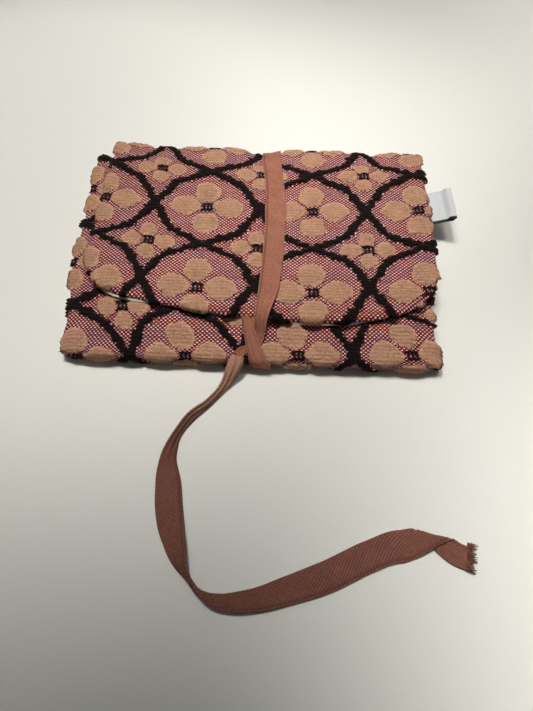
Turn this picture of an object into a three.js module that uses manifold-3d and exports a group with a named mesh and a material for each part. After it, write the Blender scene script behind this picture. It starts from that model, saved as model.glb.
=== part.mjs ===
// A small soft accordion pouch, closed and tied with its own tape.
// Millimetres, +Z up. The origin is the middle of the underside, +Y runs from the near fold to the spine.
// One chenille cloth makes the back, the near fold, the front, the spine and the flap. A pleated lining
// with two dividers makes three pockets, which open at the spine side like the pages of a book.

import * as THREE from 'three';
import { mergeVertices } from 'three/addons/utils/BufferGeometryUtils.js';
import Module from 'manifold-3d';

// Plan of the closed pouch
const pouchDepth = 125;
const nearHalfWidth = 80;
const sideSwell = 2.5;
const nearCornerRadius = 8;
const mouthCornerRadius = 4;
const mouthSetback = 10.5;
const foldRadius = 3.2;

// Cloth, ply by ply
const chenille = 1.6;
const interlining = 0.8;
const lining = 0.5;
const plyGap = 0.3;
const flapGap = 0.4;

// Woven trellis: pile stands above the ground weave as lines round big and small flowers in turn.
// Petals are [across, along, half width, half height] from a flower's middle.
const pileRise = 0.9;
const pileRoot = 0.2;
const lineWidth = 3.8;
const columnPitch = 49.4;
const nearColumnPitch = 46.4;
const rowPitch = 46.8;
const diamondShoulder = 0.635;
const petalSides = 6;
const petalTaper = 0.85;
const leastPetal = 0.5;
const patternColumns = 4;
const patternRows = 3;
const bigPetals = [[-0.6, 9.4, 6.1, 6.3], [-10.3, 0.2, 7.3, 6.4], [10.3, 0.2, 7.3, 6.4], [0, -9.9, 6.3, 5.9]];
const smallPetals = [[-0.6, 6.1, 4.1, 4.1], [-7.6, 0, 4.9, 4.4], [7.6, 0, 4.9, 4.4], [0, -6.2, 4.2, 4]];

// Pockets and their pleated sides
const bellowsHeight = 4;
const dividerCloth = 0.7;
const dividerSpacing = 1.3;
const pocketCount = 3;
const pleatCloth = 0.35;
const pleatReach = 8;
const pleatInset = 1.2;
const nearPleatSetback = 2.2;

// Flap, measured from the middle of the pouch
const flapLeft = 73.8;
const flapRight = 82.4;
const flapTip = 46.8;
const flapTipAcross = 28;
const flapLeftCorner = 35.5;
const flapRightCorner = 40.5;
const flapCornerReach = 16;
const flapCornerRise = 21;
const interliningInset = 3;
const flapSeamAllowance = 9;
const liningProud = 0.6;
const liningInset = 0.8;

// Tape
const tapeWidth = 10;
const tapeThickness = 0.8;
const tapeTuck = 6;
const tapeLaneX = 6.3;
const tapeSeamX = 0.4;
const tipRunEndZ = 5.2;

// Side label, a folded loop that leans up as it leaves the seam
const labelWidth = 19.8;
const labelFromSpine = 37;
const labelReach = 10.6;
const labelRise = 3.7;
const labelCloth = 0.25;
const labelLoop = 0.8;
const labelSeamDepth = 6;
const labelNose = 0.5;

// How far a cutting outline runs past what it cuts
const cutMargin = 1;

// Levels that follow from the plies
const nearY = -pouchDepth / 2;
const spineY = pouchDepth / 2;
const labelCentreY = spineY - labelFromSpine;
const panelPlies = chenille + interlining + lining + 2 * plyGap;
const liningTop = panelPlies;
const frontLiningZ = panelPlies + bellowsHeight;
const frontInterliningZ = frontLiningZ + lining + plyGap;
const frontOuterZ = frontInterliningZ + interlining + plyGap;
const frontTop = frontOuterZ + chenille;
const flapLiningZ = frontTop + flapGap;
const flapInterliningZ = flapLiningZ + lining + plyGap;
const flapOuterZ = flapInterliningZ + interlining + plyGap;
const flapTop = flapOuterZ + chenille;
const tapeDepth = tapeThickness + plyGap;

// Hinge lines: the spine folds on the back, the flap on the spine, and the pockets at the near fold
const spineHingeY = spineY - foldRadius;
const spineHingeZ = foldRadius + tapeDepth;
const flapHingeZ = flapLiningZ + lining;
const nearFoldReach = 4.2;
const nearFoldRadius = 3.7;
const nearFoldEndY = nearY + nearFoldReach;
const frontNearY = nearFoldEndY + plyGap;
const mouthY = spineY - mouthSetback;
const backFarY = spineHingeY - plyGap;

const colours = {
  chenille: 0x9c6f5e,
  lining: 0xe9e0d0,
  interlining: 0xf2efe8,
  tape: 0x9a6a5c,
  label: 0xe4e1ec,
};

function material(name, roughness) {
  return new THREE.MeshStandardMaterial({ color: colours[name], roughness, metalness: 0 });
}

const outerMaterial = material('chenille', 0.95);
const liningMaterial = material('lining', 0.85);
const interliningMaterial = material('interlining', 0.9);
const tapeMaterial = material('tape', 0.8);
const labelMaterial = material('label', 0.45);

const pouch = new THREE.Group();

function addPiece(name, geometry, pieceMaterial) {
  const mesh = new THREE.Mesh(geometry, pieceMaterial);
  mesh.name = name;
  pouch.add(mesh);
}

// Cutting one closed geometry with others
const wasm = await Module();
wasm.setup();

function toSolid(geometry) {
  const bare = geometry.clone();
  bare.deleteAttribute('normal');
  bare.deleteAttribute('uv');
  const merged = mergeVertices(bare, 1e-4);
  return new wasm.Manifold(new wasm.Mesh({
    numProp: 3,
    vertProperties: new Float32Array(merged.attributes.position.array),
    triVerts: new Uint32Array(merged.index.array),
  }));
}

function toGeometry(solid) {
  const { vertProperties, triVerts } = solid.getMesh();
  const geometry = new THREE.BufferGeometry();
  geometry.setAttribute('position', new THREE.BufferAttribute(new Float32Array(vertProperties), 3));
  geometry.setIndex(new THREE.BufferAttribute(new Uint32Array(triVerts), 1));
  geometry.computeVertexNormals();
  return geometry;
}

function cut(geometry, ...cutters) {
  return toGeometry(cutters.reduce((solid, cutter) => solid.subtract(toSolid(cutter)), toSolid(geometry)));
}

function keepInside(geometry, boundary) {
  return toGeometry(toSolid(geometry).intersect(toSolid(boundary)));
}

// A closed body through rings of points, each ring a loop seen anticlockwise from the far end
function loft(rings) {
  const count = rings[0].length;
  const positions = rings.flat().flatMap((p) => [p.x, p.y, p.z]);
  const index = [];
  for (let r = 0; r + 1 < rings.length; r += 1) {
    for (let i = 0; i < count; i += 1) {
      const a = r * count + i;
      const b = r * count + ((i + 1) % count);
      index.push(a, b, b + count, a, b + count, a + count);
    }
  }
  const capTriangles = flatCap(rings[0]);
  const last = (rings.length - 1) * count;
  for (const [a, b, c] of capTriangles) {
    index.push(a, c, b, last + a, last + b, last + c);
  }
  const geometry = new THREE.BufferGeometry();
  geometry.setAttribute('position', new THREE.Float32BufferAttribute(positions, 3));
  geometry.setIndex(index);
  geometry.computeVertexNormals();
  return geometry;
}

// Triangles of a flat ring, anticlockwise as the ring is
function flatCap(ring) {
  const u = ring[1].clone().sub(ring[0]).normalize();
  const normal = new THREE.Vector3();
  for (let i = 0; i < ring.length; i += 1) {
    normal.add(ring[i].clone().cross(ring[(i + 1) % ring.length]));
  }
  const v = normal.normalize().cross(u);
  return THREE.ShapeUtils.triangulateShape(ring.map((p) => new THREE.Vector2(p.dot(u), p.dot(v))), []);
}

// Half the width of the body at a depth, with its rounded near corners
function halfWidth(y) {
  const fromSpine = (spineY - y) / pouchDepth;
  const side = nearHalfWidth + sideSwell * (1 - fromSpine * fromSpine);
  const intoCorner = nearY + nearCornerRadius - y;
  if (intoCorner <= 0) return side;
  return side - nearCornerRadius + Math.sqrt(Math.max(0, nearCornerRadius ** 2 - intoCorner ** 2));
}

// A flat ply of the body between two depths, its sides drawn in by an inset
function bodyPly(z, thickness, fromY, toY, inset, farCornerRadius = 0) {
  const sideAt = (y) => {
    const intoCorner = y - (toY - farCornerRadius);
    const corner = intoCorner > 0
      ? farCornerRadius - Math.sqrt(Math.max(0, farCornerRadius ** 2 - intoCorner ** 2))
      : 0;
    return halfWidth(y) - inset - corner;
  };
  const cornerSteps = 6;
  const sideSteps = 8;
  const nearCornerEnd = Math.min(Math.max(fromY, nearY + nearCornerRadius), toY);
  const farCornerStart = toY - farCornerRadius;
  const depths = [fromY];
  for (let i = 1; i <= cornerSteps && nearCornerEnd > fromY; i += 1) {
    depths.push(fromY + (nearCornerEnd - fromY) * (i / cornerSteps) ** 2);
  }
  for (let i = 1; i <= sideSteps && farCornerStart > nearCornerEnd; i += 1) {
    depths.push(nearCornerEnd + ((farCornerStart - nearCornerEnd) * i) / sideSteps);
  }
  for (let i = 1; i <= cornerSteps && farCornerRadius > 0; i += 1) {
    depths.push(farCornerStart + farCornerRadius * Math.sin((Math.PI / 2) * (i / cornerSteps)));
  }
  const right = depths.map((y) => new THREE.Vector2(sideAt(y), y));
  const left = depths.map((y) => new THREE.Vector2(-sideAt(y), y)).reverse();
  return plate(new THREE.Shape([...right, ...left]), z, thickness);
}

function plate(shape, z, thickness) {
  const geometry = new THREE.ExtrudeGeometry(shape, { depth: thickness, bevelEnabled: false, curveSegments: 8 });
  return geometry.translate(0, 0, z);
}

// A profile drawn in depth (Y) and height (Z), drawn out across the pouch from one x to another
function acrossPouch(profile, fromX, toX) {
  const geometry = new THREE.ExtrudeGeometry(profile, {
    depth: toX - fromX,
    bevelEnabled: false,
    curveSegments: 8,
  });
  const drawnToPouch = new THREE.Matrix4().makeBasis(
    new THREE.Vector3(0, 1, 0),
    new THREE.Vector3(0, 0, 1),
    new THREE.Vector3(1, 0, 0),
  );
  return geometry.applyMatrix4(drawnToPouch).translate(fromX, 0, 0);
}

// Outline of the flap: straight far edge and sides, and a curved near edge with round corners.
// An inset draws the sides and the tip in, and a negative one lets them out.
function flapShape(inset, tipInset = inset) {
  const left = -flapLeft + inset;
  const right = flapRight - inset;
  const tip = -flapTip + tipInset;
  const leftCorner = new THREE.Vector2(left + flapCornerReach, -flapLeftCorner + tipInset);
  const rightCorner = new THREE.Vector2(right - flapCornerReach, -flapRightCorner + tipInset);
  const shape = new THREE.Shape();
  shape.moveTo(left, backFarY);
  shape.lineTo(left, leftCorner.y + flapCornerRise);
  const leftPull = leftCorner.y + flapCornerRise / 4;
  shape.quadraticCurveTo(left + 1, leftPull, leftCorner.x, leftCorner.y);
  shape.quadraticCurveTo(-flapTipAcross / 2, tip + 0.5, flapTipAcross, tip);
  shape.quadraticCurveTo(rightCorner.x - 12, tip + 0.3, rightCorner.x, rightCorner.y);
  const rightPull = rightCorner.y + flapCornerRise / 3;
  shape.quadraticCurveTo(right - 1.5, rightPull, right, rightCorner.y + flapCornerRise);
  shape.lineTo(right, backFarY);
  shape.closePath();
  return shape;
}

function flapPly(z, thickness, inset, tipInset) {
  return plate(flapShape(inset, tipInset), z, thickness);
}

// Where the trellis lies on the front and on the flap: a big flower's place, and how the cloth is pulled
const frontPattern = {
  flower: new THREE.Vector2(66.8, 30.7),
  pitchAt: (y) => THREE.MathUtils.mapLinear(Math.min(y, -16), -16, nearY, columnPitch, nearColumnPitch),
  sagAt: () => 0,
};
const flapPattern = {
  flower: new THREE.Vector2(76.4, 16.5),
  pitchAt: () => columnPitch,
  sagAt: (x) => 3.4 * ((x - 14) / 62) ** 2 - 1.8,
};

function patternPoint(pattern, column, row) {
  const y = pattern.flower.y - row * rowPitch;
  const x = pattern.flower.x - column * pattern.pitchAt(y);
  return new THREE.Vector2(x, y + pattern.sagAt(x));
}

// One zigzag line of the trellis, above (side 1) or below (side -1) a row of big flowers
function trellisLine(pattern, row, side) {
  const reach = diamondShoulder / 2;
  const points = [];
  for (let column = patternColumns; column >= 0; column -= 1) {
    points.push(
      patternPoint(pattern, column + 0.5, row),
      patternPoint(pattern, column + reach, row - side * reach),
      patternPoint(pattern, column, row - side * 0.5),
      patternPoint(pattern, column - reach, row - side * reach),
    );
  }
  points.push(patternPoint(pattern, -0.5, row));
  const edge = (offset) => points.map((point, i) => {
    const before = points[Math.max(i - 1, 0)];
    const after = points[Math.min(i + 1, points.length - 1)];
    const into = point.clone().sub(before).normalize();
    const away = after.clone().sub(point).normalize();
    const along = into.clone().add(away).normalize();
    const normal = new THREE.Vector2(-along.y, along.x);
    const stretch = Math.max(Math.abs(along.dot(i ? into : away)), 0.5);
    return point.clone().addScaledVector(normal, offset / stretch);
  });
  return new THREE.Shape([...edge(-lineWidth / 2), ...edge(lineWidth / 2).reverse()]);
}

// A tuft of pile, a little narrower at its top
function petal(middle, [across, along, halfAcross, halfAlong], z) {
  const ring = (height, taper) => Array.from({ length: petalSides }, (_, i) => {
    const angle = (2 * Math.PI * i) / petalSides;
    return new THREE.Vector3(
      middle.x + across + taper * halfAcross * Math.cos(angle),
      middle.y + along + taper * halfAlong * Math.sin(angle),
      height,
    );
  });
  return loft([ring(z - pileRoot, 1), ring(z + pileRise, petalTaper)]);
}

// A ply of the chenille: its ground weave, with the trellis's pile on it as far as its outline goes.
// A petal of which the outline would leave too little is left out.
function patterned(plyAt, pattern, z) {
  const groundZ = z + chenille - pileRise;
  const whole = toSolid(plyAt(z, chenille));
  const pile = [];
  for (let row = -1; row <= patternRows; row += 1) {
    for (const side of [1, -1]) {
      const line = trellisLine(pattern, row, side);
      pile.push(toSolid(plate(line, groundZ - pileRoot, pileRise + pileRoot)).intersect(whole));
    }
    for (let column = -0.5; column <= patternColumns; column += 0.5) {
      const big = Number.isInteger(column);
      const middle = patternPoint(pattern, column, big ? row : row + 0.5);
      for (const shape of big ? bigPetals : smallPetals) {
        const tuft = toSolid(petal(middle, shape, groundZ));
        const inside = tuft.intersect(whole);
        if (inside.volume() > leastPetal * tuft.volume()) pile.push(inside);
      }
    }
  }
  return toGeometry(pile.reduce((all, one) => all.add(one), toSolid(plyAt(z, chenille - pileRise))));
}

// A flat tape along a curve: rows are [x, y, z, share of its full width], and its width stays level
function tape(rows, grow = 0) {
  const centres = rows.map(([x, y, z]) => new THREE.Vector3(x, y, z));
  const curve = new THREE.CatmullRomCurve3(centres, false, 'centripetal');
  const steps = (rows.length - 1) * 4;
  const halfThickness = tapeThickness / 2 + grow;
  const rings = [];
  for (let i = 0; i <= steps; i += 1) {
    const t = i / steps;
    const row = Math.min(Math.floor(t * (rows.length - 1)), rows.length - 2);
    const blend = t * (rows.length - 1) - row;
    const share = THREE.MathUtils.lerp(rows[row][3], rows[row + 1][3], blend);
    const halfTape = (tapeWidth * share) / 2 + grow;
    const centre = curve.getPoint(t);
    const along = curve.getTangent(t);
    const across = new THREE.Vector3(1, 0, 0).addScaledVector(along, -along.x).normalize();
    const up = along.clone().cross(across);
    if (i === 0) centre.addScaledVector(along, -grow);
    if (i === steps) centre.addScaledVector(along, grow);
    rings.push([[-1, -1], [1, -1], [1, 1], [-1, 1]].map(([a, b]) => centre.clone()
      .addScaledVector(across, a * halfTape)
      .addScaledVector(up, b * halfThickness)));
  }
  return loft(rings);
}

// Rows of a quarter turn round a fold: angles are in degrees from +Y towards +Z
function quarterTurn(centreY, centreZ, radius, fromDegrees, fromShare, toShare) {
  const steps = 4;
  const rows = [];
  for (let i = 0; i <= steps; i += 1) {
    const angle = THREE.MathUtils.degToRad(fromDegrees + (90 * i) / steps);
    const share = THREE.MathUtils.lerp(fromShare, toShare, i / steps);
    rows.push([tapeLaneX, centreY + radius * Math.cos(angle), centreZ + radius * Math.sin(angle), share]);
  }
  return rows;
}

// The tape's way round the pouch, from its sewn end in the flap's edge to where it is tucked under itself
const tableClearance = 0.05;
const onTable = tapeThickness / 2 + tableClearance;
const onFront = frontTop + plyGap + tapeThickness / 2;
const onFlap = flapTop + plyGap + tapeThickness / 2;
const overTape = onFront + tapeThickness + plyGap;
const nearTurn = nearFoldRadius + plyGap + tapeThickness / 2;
const nearTurnY = nearY + nearFoldRadius;
const nearTapeY = nearTurnY - nearTurn;
const farTurnRadius = foldRadius + plyGap + tapeThickness / 2;
const inSeam = flapInterliningZ + interlining / 2;
const crossingY = (nearY - flapTip) / 2;

const tipRun = [
  [tapeSeamX - 0.2, -flapTip + tapeTuck, inSeam, 0.56],
  [tapeSeamX + 0.2, -flapTip + 0.5, inSeam, 0.52],
  [tapeSeamX + 1.2, crossingY + 3.1, overTape + 0.1, 0.54],
  [tapeSeamX + 2.8, crossingY - 2.4, overTape + 0.1, 0.6],
  [tapeLaneX - 1.7, nearY + 2.1, overTape - 0.6, 0.68],
  [tapeLaneX - 0.9, nearY - 0.1, onFront - 1.5, 0.76],
  [tapeLaneX, nearTapeY, frontTop - 3.8, 0.82],
  [tapeLaneX, nearTapeY, tipRunEndZ, 0.86],
];

const underRun = [
  ...quarterTurn(nearTurnY, onTable + nearTurn, nearTurn, 180, 0.86, 1),
  [tapeLaneX, nearTurnY + 3, onTable, 1],
  [tapeLaneX, 0, onTable, 1],
  [tapeLaneX, backFarY, onTable, 1],
];

const farTurn = [
  ...quarterTurn(spineHingeY, onTable + farTurnRadius, farTurnRadius, -90, 1, 0.95),
  ...quarterTurn(spineHingeY, flapTop - foldRadius, farTurnRadius, 0, 0.92, 0.9),
];

const topRun = [
  [tapeLaneX, backFarY, onFlap, 0.9],
  [tapeLaneX, backFarY - 4, onFlap, 0.9],
  [tapeLaneX + 3.1, 22, onFlap, 0.94],
  [tapeLaneX + 3.5, -10, onFlap, 0.95],
  [tapeLaneX + 2.1, -30, onFlap, 0.9],
  [tapeLaneX + 1.1, -flapTip + 4, onFlap, 0.86],
  [tapeLaneX + 1.1, -flapTip, onFlap, 0.8],
  [tapeLaneX + 1.3, -flapTip - 2.2, onFlap - 1.5, 0.66],
  [tapeLaneX + 1.1, crossingY + 3.2, onFront + 0.4, 0.56],
  [tapeLaneX - 0.3, crossingY + 0.8, onFront, 0.5],
  [tapeSeamX + 2.8, crossingY - 1.6, onFront, 0.44],
  [tapeSeamX - 0.2, crossingY - 2.4, onFront, 0.42],
  [tapeSeamX - 2.5, crossingY - 3.8, onFront, 0.42],
  [tapeSeamX - 3.3, crossingY - 6, onFront, 0.46],
];

// Outer cloth
const underChannel = tape(underRun, plyGap);
const backNearY = nearFoldEndY + plyGap;
addPiece('back_outer', cut(bodyPly(0, chenille, backNearY, backFarY, 0), underChannel), outerMaterial);

// The near fold is a letter C in profile, cut to the body's outline so that its ends follow the corners
function nearFold(height, baseZ, wall, outset, reach) {
  const outerRadius = Math.min(nearFoldRadius - outset, height / 2);
  const innerRadius = Math.max(outerRadius - wall, 0.2);
  const y = nearY + outset;
  const endY = nearY + reach;
  const top = baseZ + height;
  const profile = new THREE.Shape();
  profile.moveTo(endY, baseZ);
  profile.lineTo(endY, baseZ + wall);
  profile.lineTo(y + wall + innerRadius, baseZ + wall);
  const innerY = y + wall + innerRadius;
  profile.absarc(innerY, baseZ + wall + innerRadius, innerRadius, -Math.PI / 2, Math.PI, true);
  profile.absarc(innerY, top - wall - innerRadius, innerRadius, Math.PI, Math.PI / 2, true);
  profile.lineTo(endY, top - wall);
  profile.lineTo(endY, top);
  profile.absarc(y + outerRadius, top - outerRadius, outerRadius, Math.PI / 2, Math.PI, false);
  profile.absarc(y + outerRadius, baseZ + outerRadius, outerRadius, Math.PI, Math.PI * 1.5, false);
  profile.closePath();
  return acrossPouch(profile, -nearHalfWidth - sideSwell, nearHalfWidth + sideSwell);
}

function nearOutline(inset) {
  return bodyPly(-cutMargin, frontTop + 2 * cutMargin, nearY, frontNearY + cutMargin, inset);
}

addPiece('near_fold_outer', cut(
  keepInside(nearFold(frontTop, 0, chenille, 0, nearFoldReach), nearOutline(0)),
  underChannel,
), outerMaterial);
const frontPly = (z, thickness) => bodyPly(z, thickness, frontNearY, mouthY, 0, mouthCornerRadius);
addPiece('front_outer', patterned(frontPly, frontPattern, frontOuterZ), outerMaterial);

// The two quarter turns of the outer cloth at the spine, which bend when the pouch is opened
function lowerFoldProfile() {
  const profile = new THREE.Shape();
  profile.moveTo(spineHingeY, 0);
  profile.absarc(spineHingeY, foldRadius, foldRadius, -Math.PI / 2, 0, false);
  profile.lineTo(spineY, spineHingeZ);
  profile.lineTo(spineY - chenille, spineHingeZ);
  profile.lineTo(spineY - chenille, foldRadius);
  profile.absarc(spineHingeY, foldRadius, foldRadius - chenille, 0, -Math.PI / 2, true);
  profile.closePath();
  return profile;
}

function upperFoldProfile() {
  const centreZ = flapTop - foldRadius;
  const profile = new THREE.Shape();
  profile.moveTo(spineY, centreZ);
  profile.absarc(spineHingeY, centreZ, foldRadius, 0, Math.PI / 2, false);
  profile.lineTo(spineHingeY, flapOuterZ);
  profile.absarc(spineHingeY, centreZ, foldRadius - chenille, Math.PI / 2, 0, true);
  profile.closePath();
  return profile;
}

function spinePly(thickness, faceY, fromZ, toZ, inset) {
  const width = flapLeft + flapRight - 2 * inset;
  const geometry = new THREE.BoxGeometry(width, thickness, toZ - fromZ);
  return geometry.translate((flapRight - flapLeft) / 2, faceY - thickness / 2, (fromZ + toZ) / 2);
}

const spineBottomZ = spineHingeZ + plyGap;
const spineTopZ = flapTop - foldRadius - plyGap;
const spineLiningY = spineY - chenille - plyGap;
addPiece('spine_lower_fold', cut(
  acrossPouch(lowerFoldProfile(), -flapLeft, flapRight),
  tape(farTurn, plyGap),
), outerMaterial);
addPiece('spine_outer', spinePly(chenille, spineY, spineBottomZ, spineTopZ, 0), outerMaterial);
addPiece('spine_upper_fold', acrossPouch(upperFoldProfile(), -flapLeft, flapRight), outerMaterial);
const flapCloth = (z, thickness) => flapPly(z, thickness, 0);
addPiece('flap_outer', patterned(flapCloth, flapPattern, flapOuterZ), outerMaterial);

// Lining and interlining
const bellowsInset = pleatInset + pleatReach + plyGap;
const seamX = halfWidth(labelCentreY);
const labelZ = frontInterliningZ;
addPiece('back_interlining', bodyPly(
  chenille + plyGap, interlining, backNearY, backFarY, interliningInset,
), interliningMaterial);
addPiece('back_lining', bodyPly(
  liningTop - lining, lining, backNearY, backFarY, bellowsInset,
), liningMaterial);
addPiece('near_fold_lining', keepInside(
  nearFold(bellowsHeight + 2 * lining, liningTop - lining, lining, chenille + plyGap, nearFoldReach),
  nearOutline(liningInset),
), liningMaterial);
addPiece('front_lining', bodyPly(
  frontLiningZ, lining, frontNearY, mouthY - liningInset, bellowsInset,
), liningMaterial);
addPiece('spine_lining', spinePly(
  lining, spineLiningY, spineBottomZ, spineTopZ, liningInset,
), liningMaterial);
addPiece('flap_lining', flapPly(flapLiningZ, lining, liningInset, -liningProud), liningMaterial);
const tapeEnd = tape(tipRun, plyGap);
addPiece('flap_interlining', cut(
  flapPly(flapInterliningZ, interlining, interliningInset, flapSeamAllowance),
  tapeEnd,
), interliningMaterial);

// Side label: a loop of thin satin, caught in the front's right seam
function labelProfile(grow) {
  const start = seamX - labelSeamDepth;
  const bend = seamX - labelNose;
  const end = seamX + labelReach;
  const low = labelZ - grow;
  const high = labelZ + labelLoop + grow;
  const middle = (low + high) / 2;
  const profile = new THREE.Shape();
  profile.moveTo(start - grow, low);
  profile.lineTo(bend, low);
  profile.lineTo(end, low + labelRise);
  profile.lineTo(end + labelNose + grow, middle + labelRise);
  profile.lineTo(end, high + labelRise);
  profile.lineTo(bend, high);
  profile.lineTo(start - grow, high);
  if (grow === 0) {
    profile.lineTo(start, high - labelCloth);
    profile.lineTo(bend, high - labelCloth);
    profile.lineTo(end - labelCloth, high + labelRise - labelCloth);
    profile.lineTo(end, middle + labelRise);
    profile.lineTo(end - labelCloth, low + labelRise + labelCloth);
    profile.lineTo(bend, low + labelCloth);
    profile.lineTo(start, low + labelCloth);
  }
  profile.closePath();
  return profile;
}

function label(grow) {
  const depth = labelWidth + 2 * grow;
  const geometry = new THREE.ExtrudeGeometry(labelProfile(grow), { depth, bevelEnabled: false });
  return geometry.rotateX(Math.PI / 2).translate(0, labelCentreY + depth / 2, 0);
}

addPiece('front_interlining', cut(bodyPly(
  frontInterliningZ, interlining, backNearY, mouthY - interliningInset, interliningInset,
), label(plyGap)), interliningMaterial);
addPiece('side_label', label(0), labelMaterial);

// Dividers, of doubled lining
const bellowsMiddleZ = liningTop + bellowsHeight / 2;
const dividerNearY = nearY + chenille + lining + 2 * plyGap;
const dividerCount = pocketCount - 1;
for (let i = 0; i < dividerCount; i += 1) {
  const z = bellowsMiddleZ + (i - (dividerCount - 1) / 2) * dividerSpacing - dividerCloth / 2;
  addPiece(`divider_${i + 1}`, bodyPly(
    z, dividerCloth, dividerNearY, mouthY - liningInset, bellowsInset,
  ), liningMaterial);
}

// Pleated sides: one hairpin of lining for each pocket, its fold outwards
function pleat(side, index) {
  const zoneLow = liningTop - lining;
  const zoneHeight = bellowsHeight + 2 * lining;
  const pitch = zoneHeight / pocketCount;
  const low = zoneLow + index * pitch + (index > 0 ? plyGap / 2 : 0);
  const high = zoneLow + (index + 1) * pitch - (index < pocketCount - 1 ? plyGap / 2 : 0);
  const middle = (low + high) / 2;
  const nose = 0.8;
  const stations = 6;
  const fromY = nearFoldEndY + nearPleatSetback;
  const toY = mouthY - liningInset;
  const rings = [];
  for (let i = 0; i <= stations; i += 1) {
    const y = fromY + ((toY - fromY) * i) / stations;
    const peak = halfWidth(y) - pleatInset;
    const valley = peak - pleatReach;
    const hairpin = [
      [valley, low], [peak - nose, low], [peak, middle], [peak - nose, high], [valley, high],
      [valley, high - pleatCloth], [peak - nose, high - pleatCloth], [peak - pleatCloth, middle],
      [peak - nose, low + pleatCloth], [valley, low + pleatCloth],
    ].map(([x, z]) => new THREE.Vector3(side * x, y, z));
    rings.push(side > 0 ? hairpin.reverse() : hairpin);
  }
  return loft(rings);
}

for (const [sideName, side] of [['left', -1], ['right', 1]]) {
  for (let i = 0; i < pocketCount; i += 1) {
    addPiece(`gusset_${sideName}_${i + 1}`, pleat(side, i), liningMaterial);
  }
}

// Tape
addPiece('strap_tip_run', tape(tipRun), tapeMaterial);
addPiece('strap_under_run', tape(underRun), tapeMaterial);
addPiece('strap_far_turn', tape(farTurn), tapeMaterial);
addPiece('strap_top_run', tape(topRun), tapeMaterial);

// The free end of the tape: off the front, over the near edge and in a loose curve along the table
const tailRoute = [
  [-2.9, -60.9, onFront],
  [-3.7, -63.9, onFront - 0.4],
  [-4.7, -67, 8],
  [-5.9, -70, 3.6],
  [-8.6, -73.4, 0.9],
  [-14, -79.2, 0.6],
  [-20.5, -86.3, 0.6],
  [-25.3, -94.5, 0.6],
  [-27, -104, 0.6],
  [-26.4, -114, 0.6],
  [-24.6, -124.5, 0.6],
  [-20.9, -134.8, 0.6],
  [-16.6, -143.6, 0.6],
  [-10.4, -150.2, 0.6],
  [-2.6, -153, 0.6],
  [7.6, -152, 0.6],
  [19.4, -148.2, 0.6],
  [34.2, -142.6, 0.6],
  [48.6, -137.2, 0.6],
  [61.4, -134, 0.6],
  [73.6, -133.4, 0.6],
  [82.4, -136, 0.6],
];

// A curve whose section stays level: its second axis is always horizontal
class LevelCurve extends THREE.CatmullRomCurve3 {
  computeFrenetFrames(segments) {
    const up = new THREE.Vector3(0, 0, 1);
    const frames = { tangents: [], normals: [], binormals: [] };
    for (let i = 0; i <= segments; i += 1) {
      const tangent = this.getTangentAt(i / segments);
      const binormal = tangent.clone().cross(up).normalize();
      frames.tangents.push(tangent);
      frames.binormals.push(binormal);
      frames.normals.push(binormal.clone().cross(tangent));
    }
    return frames;
  }
}

// The tail's section: a flat tape with softened edges, as shares of half its width and thickness
const tailSection = [[-1, -0.4], [-0.8, -1], [0.8, -1], [1, -0.4], [1, 0.4], [0.8, 1], [-0.8, 1], [-1, 0.4]];

function tailTape() {
  const points = tailRoute.map(([x, y, z]) => new THREE.Vector3(x, y, z));
  const section = tailSection.map(([across, up]) => new THREE.Vector2(
    (up * tapeThickness) / 2,
    (across * tapeWidth) / 2,
  ));
  return new THREE.ExtrudeGeometry(new THREE.Shape(section), {
    extrudePath: new LevelCurve(points, false, 'centripetal'),
    steps: 48,
    bevelEnabled: false,
  });
}

addPiece('strap_tail', tailTape(), tapeMaterial);

export default pouch;
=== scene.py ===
import math

import bmesh
import bpy
import numpy as np
from bpy.props import FloatProperty, FloatVectorProperty, PointerProperty
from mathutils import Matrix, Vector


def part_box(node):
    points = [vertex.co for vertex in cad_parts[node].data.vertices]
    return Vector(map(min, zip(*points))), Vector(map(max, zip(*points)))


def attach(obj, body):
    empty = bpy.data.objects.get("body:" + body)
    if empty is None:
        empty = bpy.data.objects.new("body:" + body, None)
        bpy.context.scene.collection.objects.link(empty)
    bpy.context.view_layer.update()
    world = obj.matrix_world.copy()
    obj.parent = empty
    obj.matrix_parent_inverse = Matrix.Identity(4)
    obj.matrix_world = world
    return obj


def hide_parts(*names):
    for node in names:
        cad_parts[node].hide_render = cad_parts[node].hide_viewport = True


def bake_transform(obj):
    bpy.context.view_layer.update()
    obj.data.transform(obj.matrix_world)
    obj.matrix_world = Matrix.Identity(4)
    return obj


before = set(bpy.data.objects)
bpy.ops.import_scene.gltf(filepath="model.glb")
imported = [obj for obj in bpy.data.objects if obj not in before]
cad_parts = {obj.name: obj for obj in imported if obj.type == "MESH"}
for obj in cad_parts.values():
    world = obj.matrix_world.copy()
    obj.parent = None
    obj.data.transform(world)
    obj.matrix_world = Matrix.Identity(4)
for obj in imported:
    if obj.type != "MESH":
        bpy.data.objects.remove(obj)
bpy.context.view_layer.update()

bl_info = {
    "name": "Accordion pouch",
    "version": (1, 0, 0),
    "blender": (4, 5, 0),
    "location": "3D View > Sidebar > Pouch",
    "description": "A tied chenille pouch with a trellis of four-petalled flowers",
    "category": "Object",
}

# Lengths below are in millimetres unless a comment says otherwise; meshes are written in metres
METRE = 1000


def low(node):
    """The least x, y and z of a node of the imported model."""
    return np.array(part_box(node)[0]) * METRE


def high(node):
    """The greatest x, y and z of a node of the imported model."""
    return np.array(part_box(node)[1]) * METRE


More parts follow.
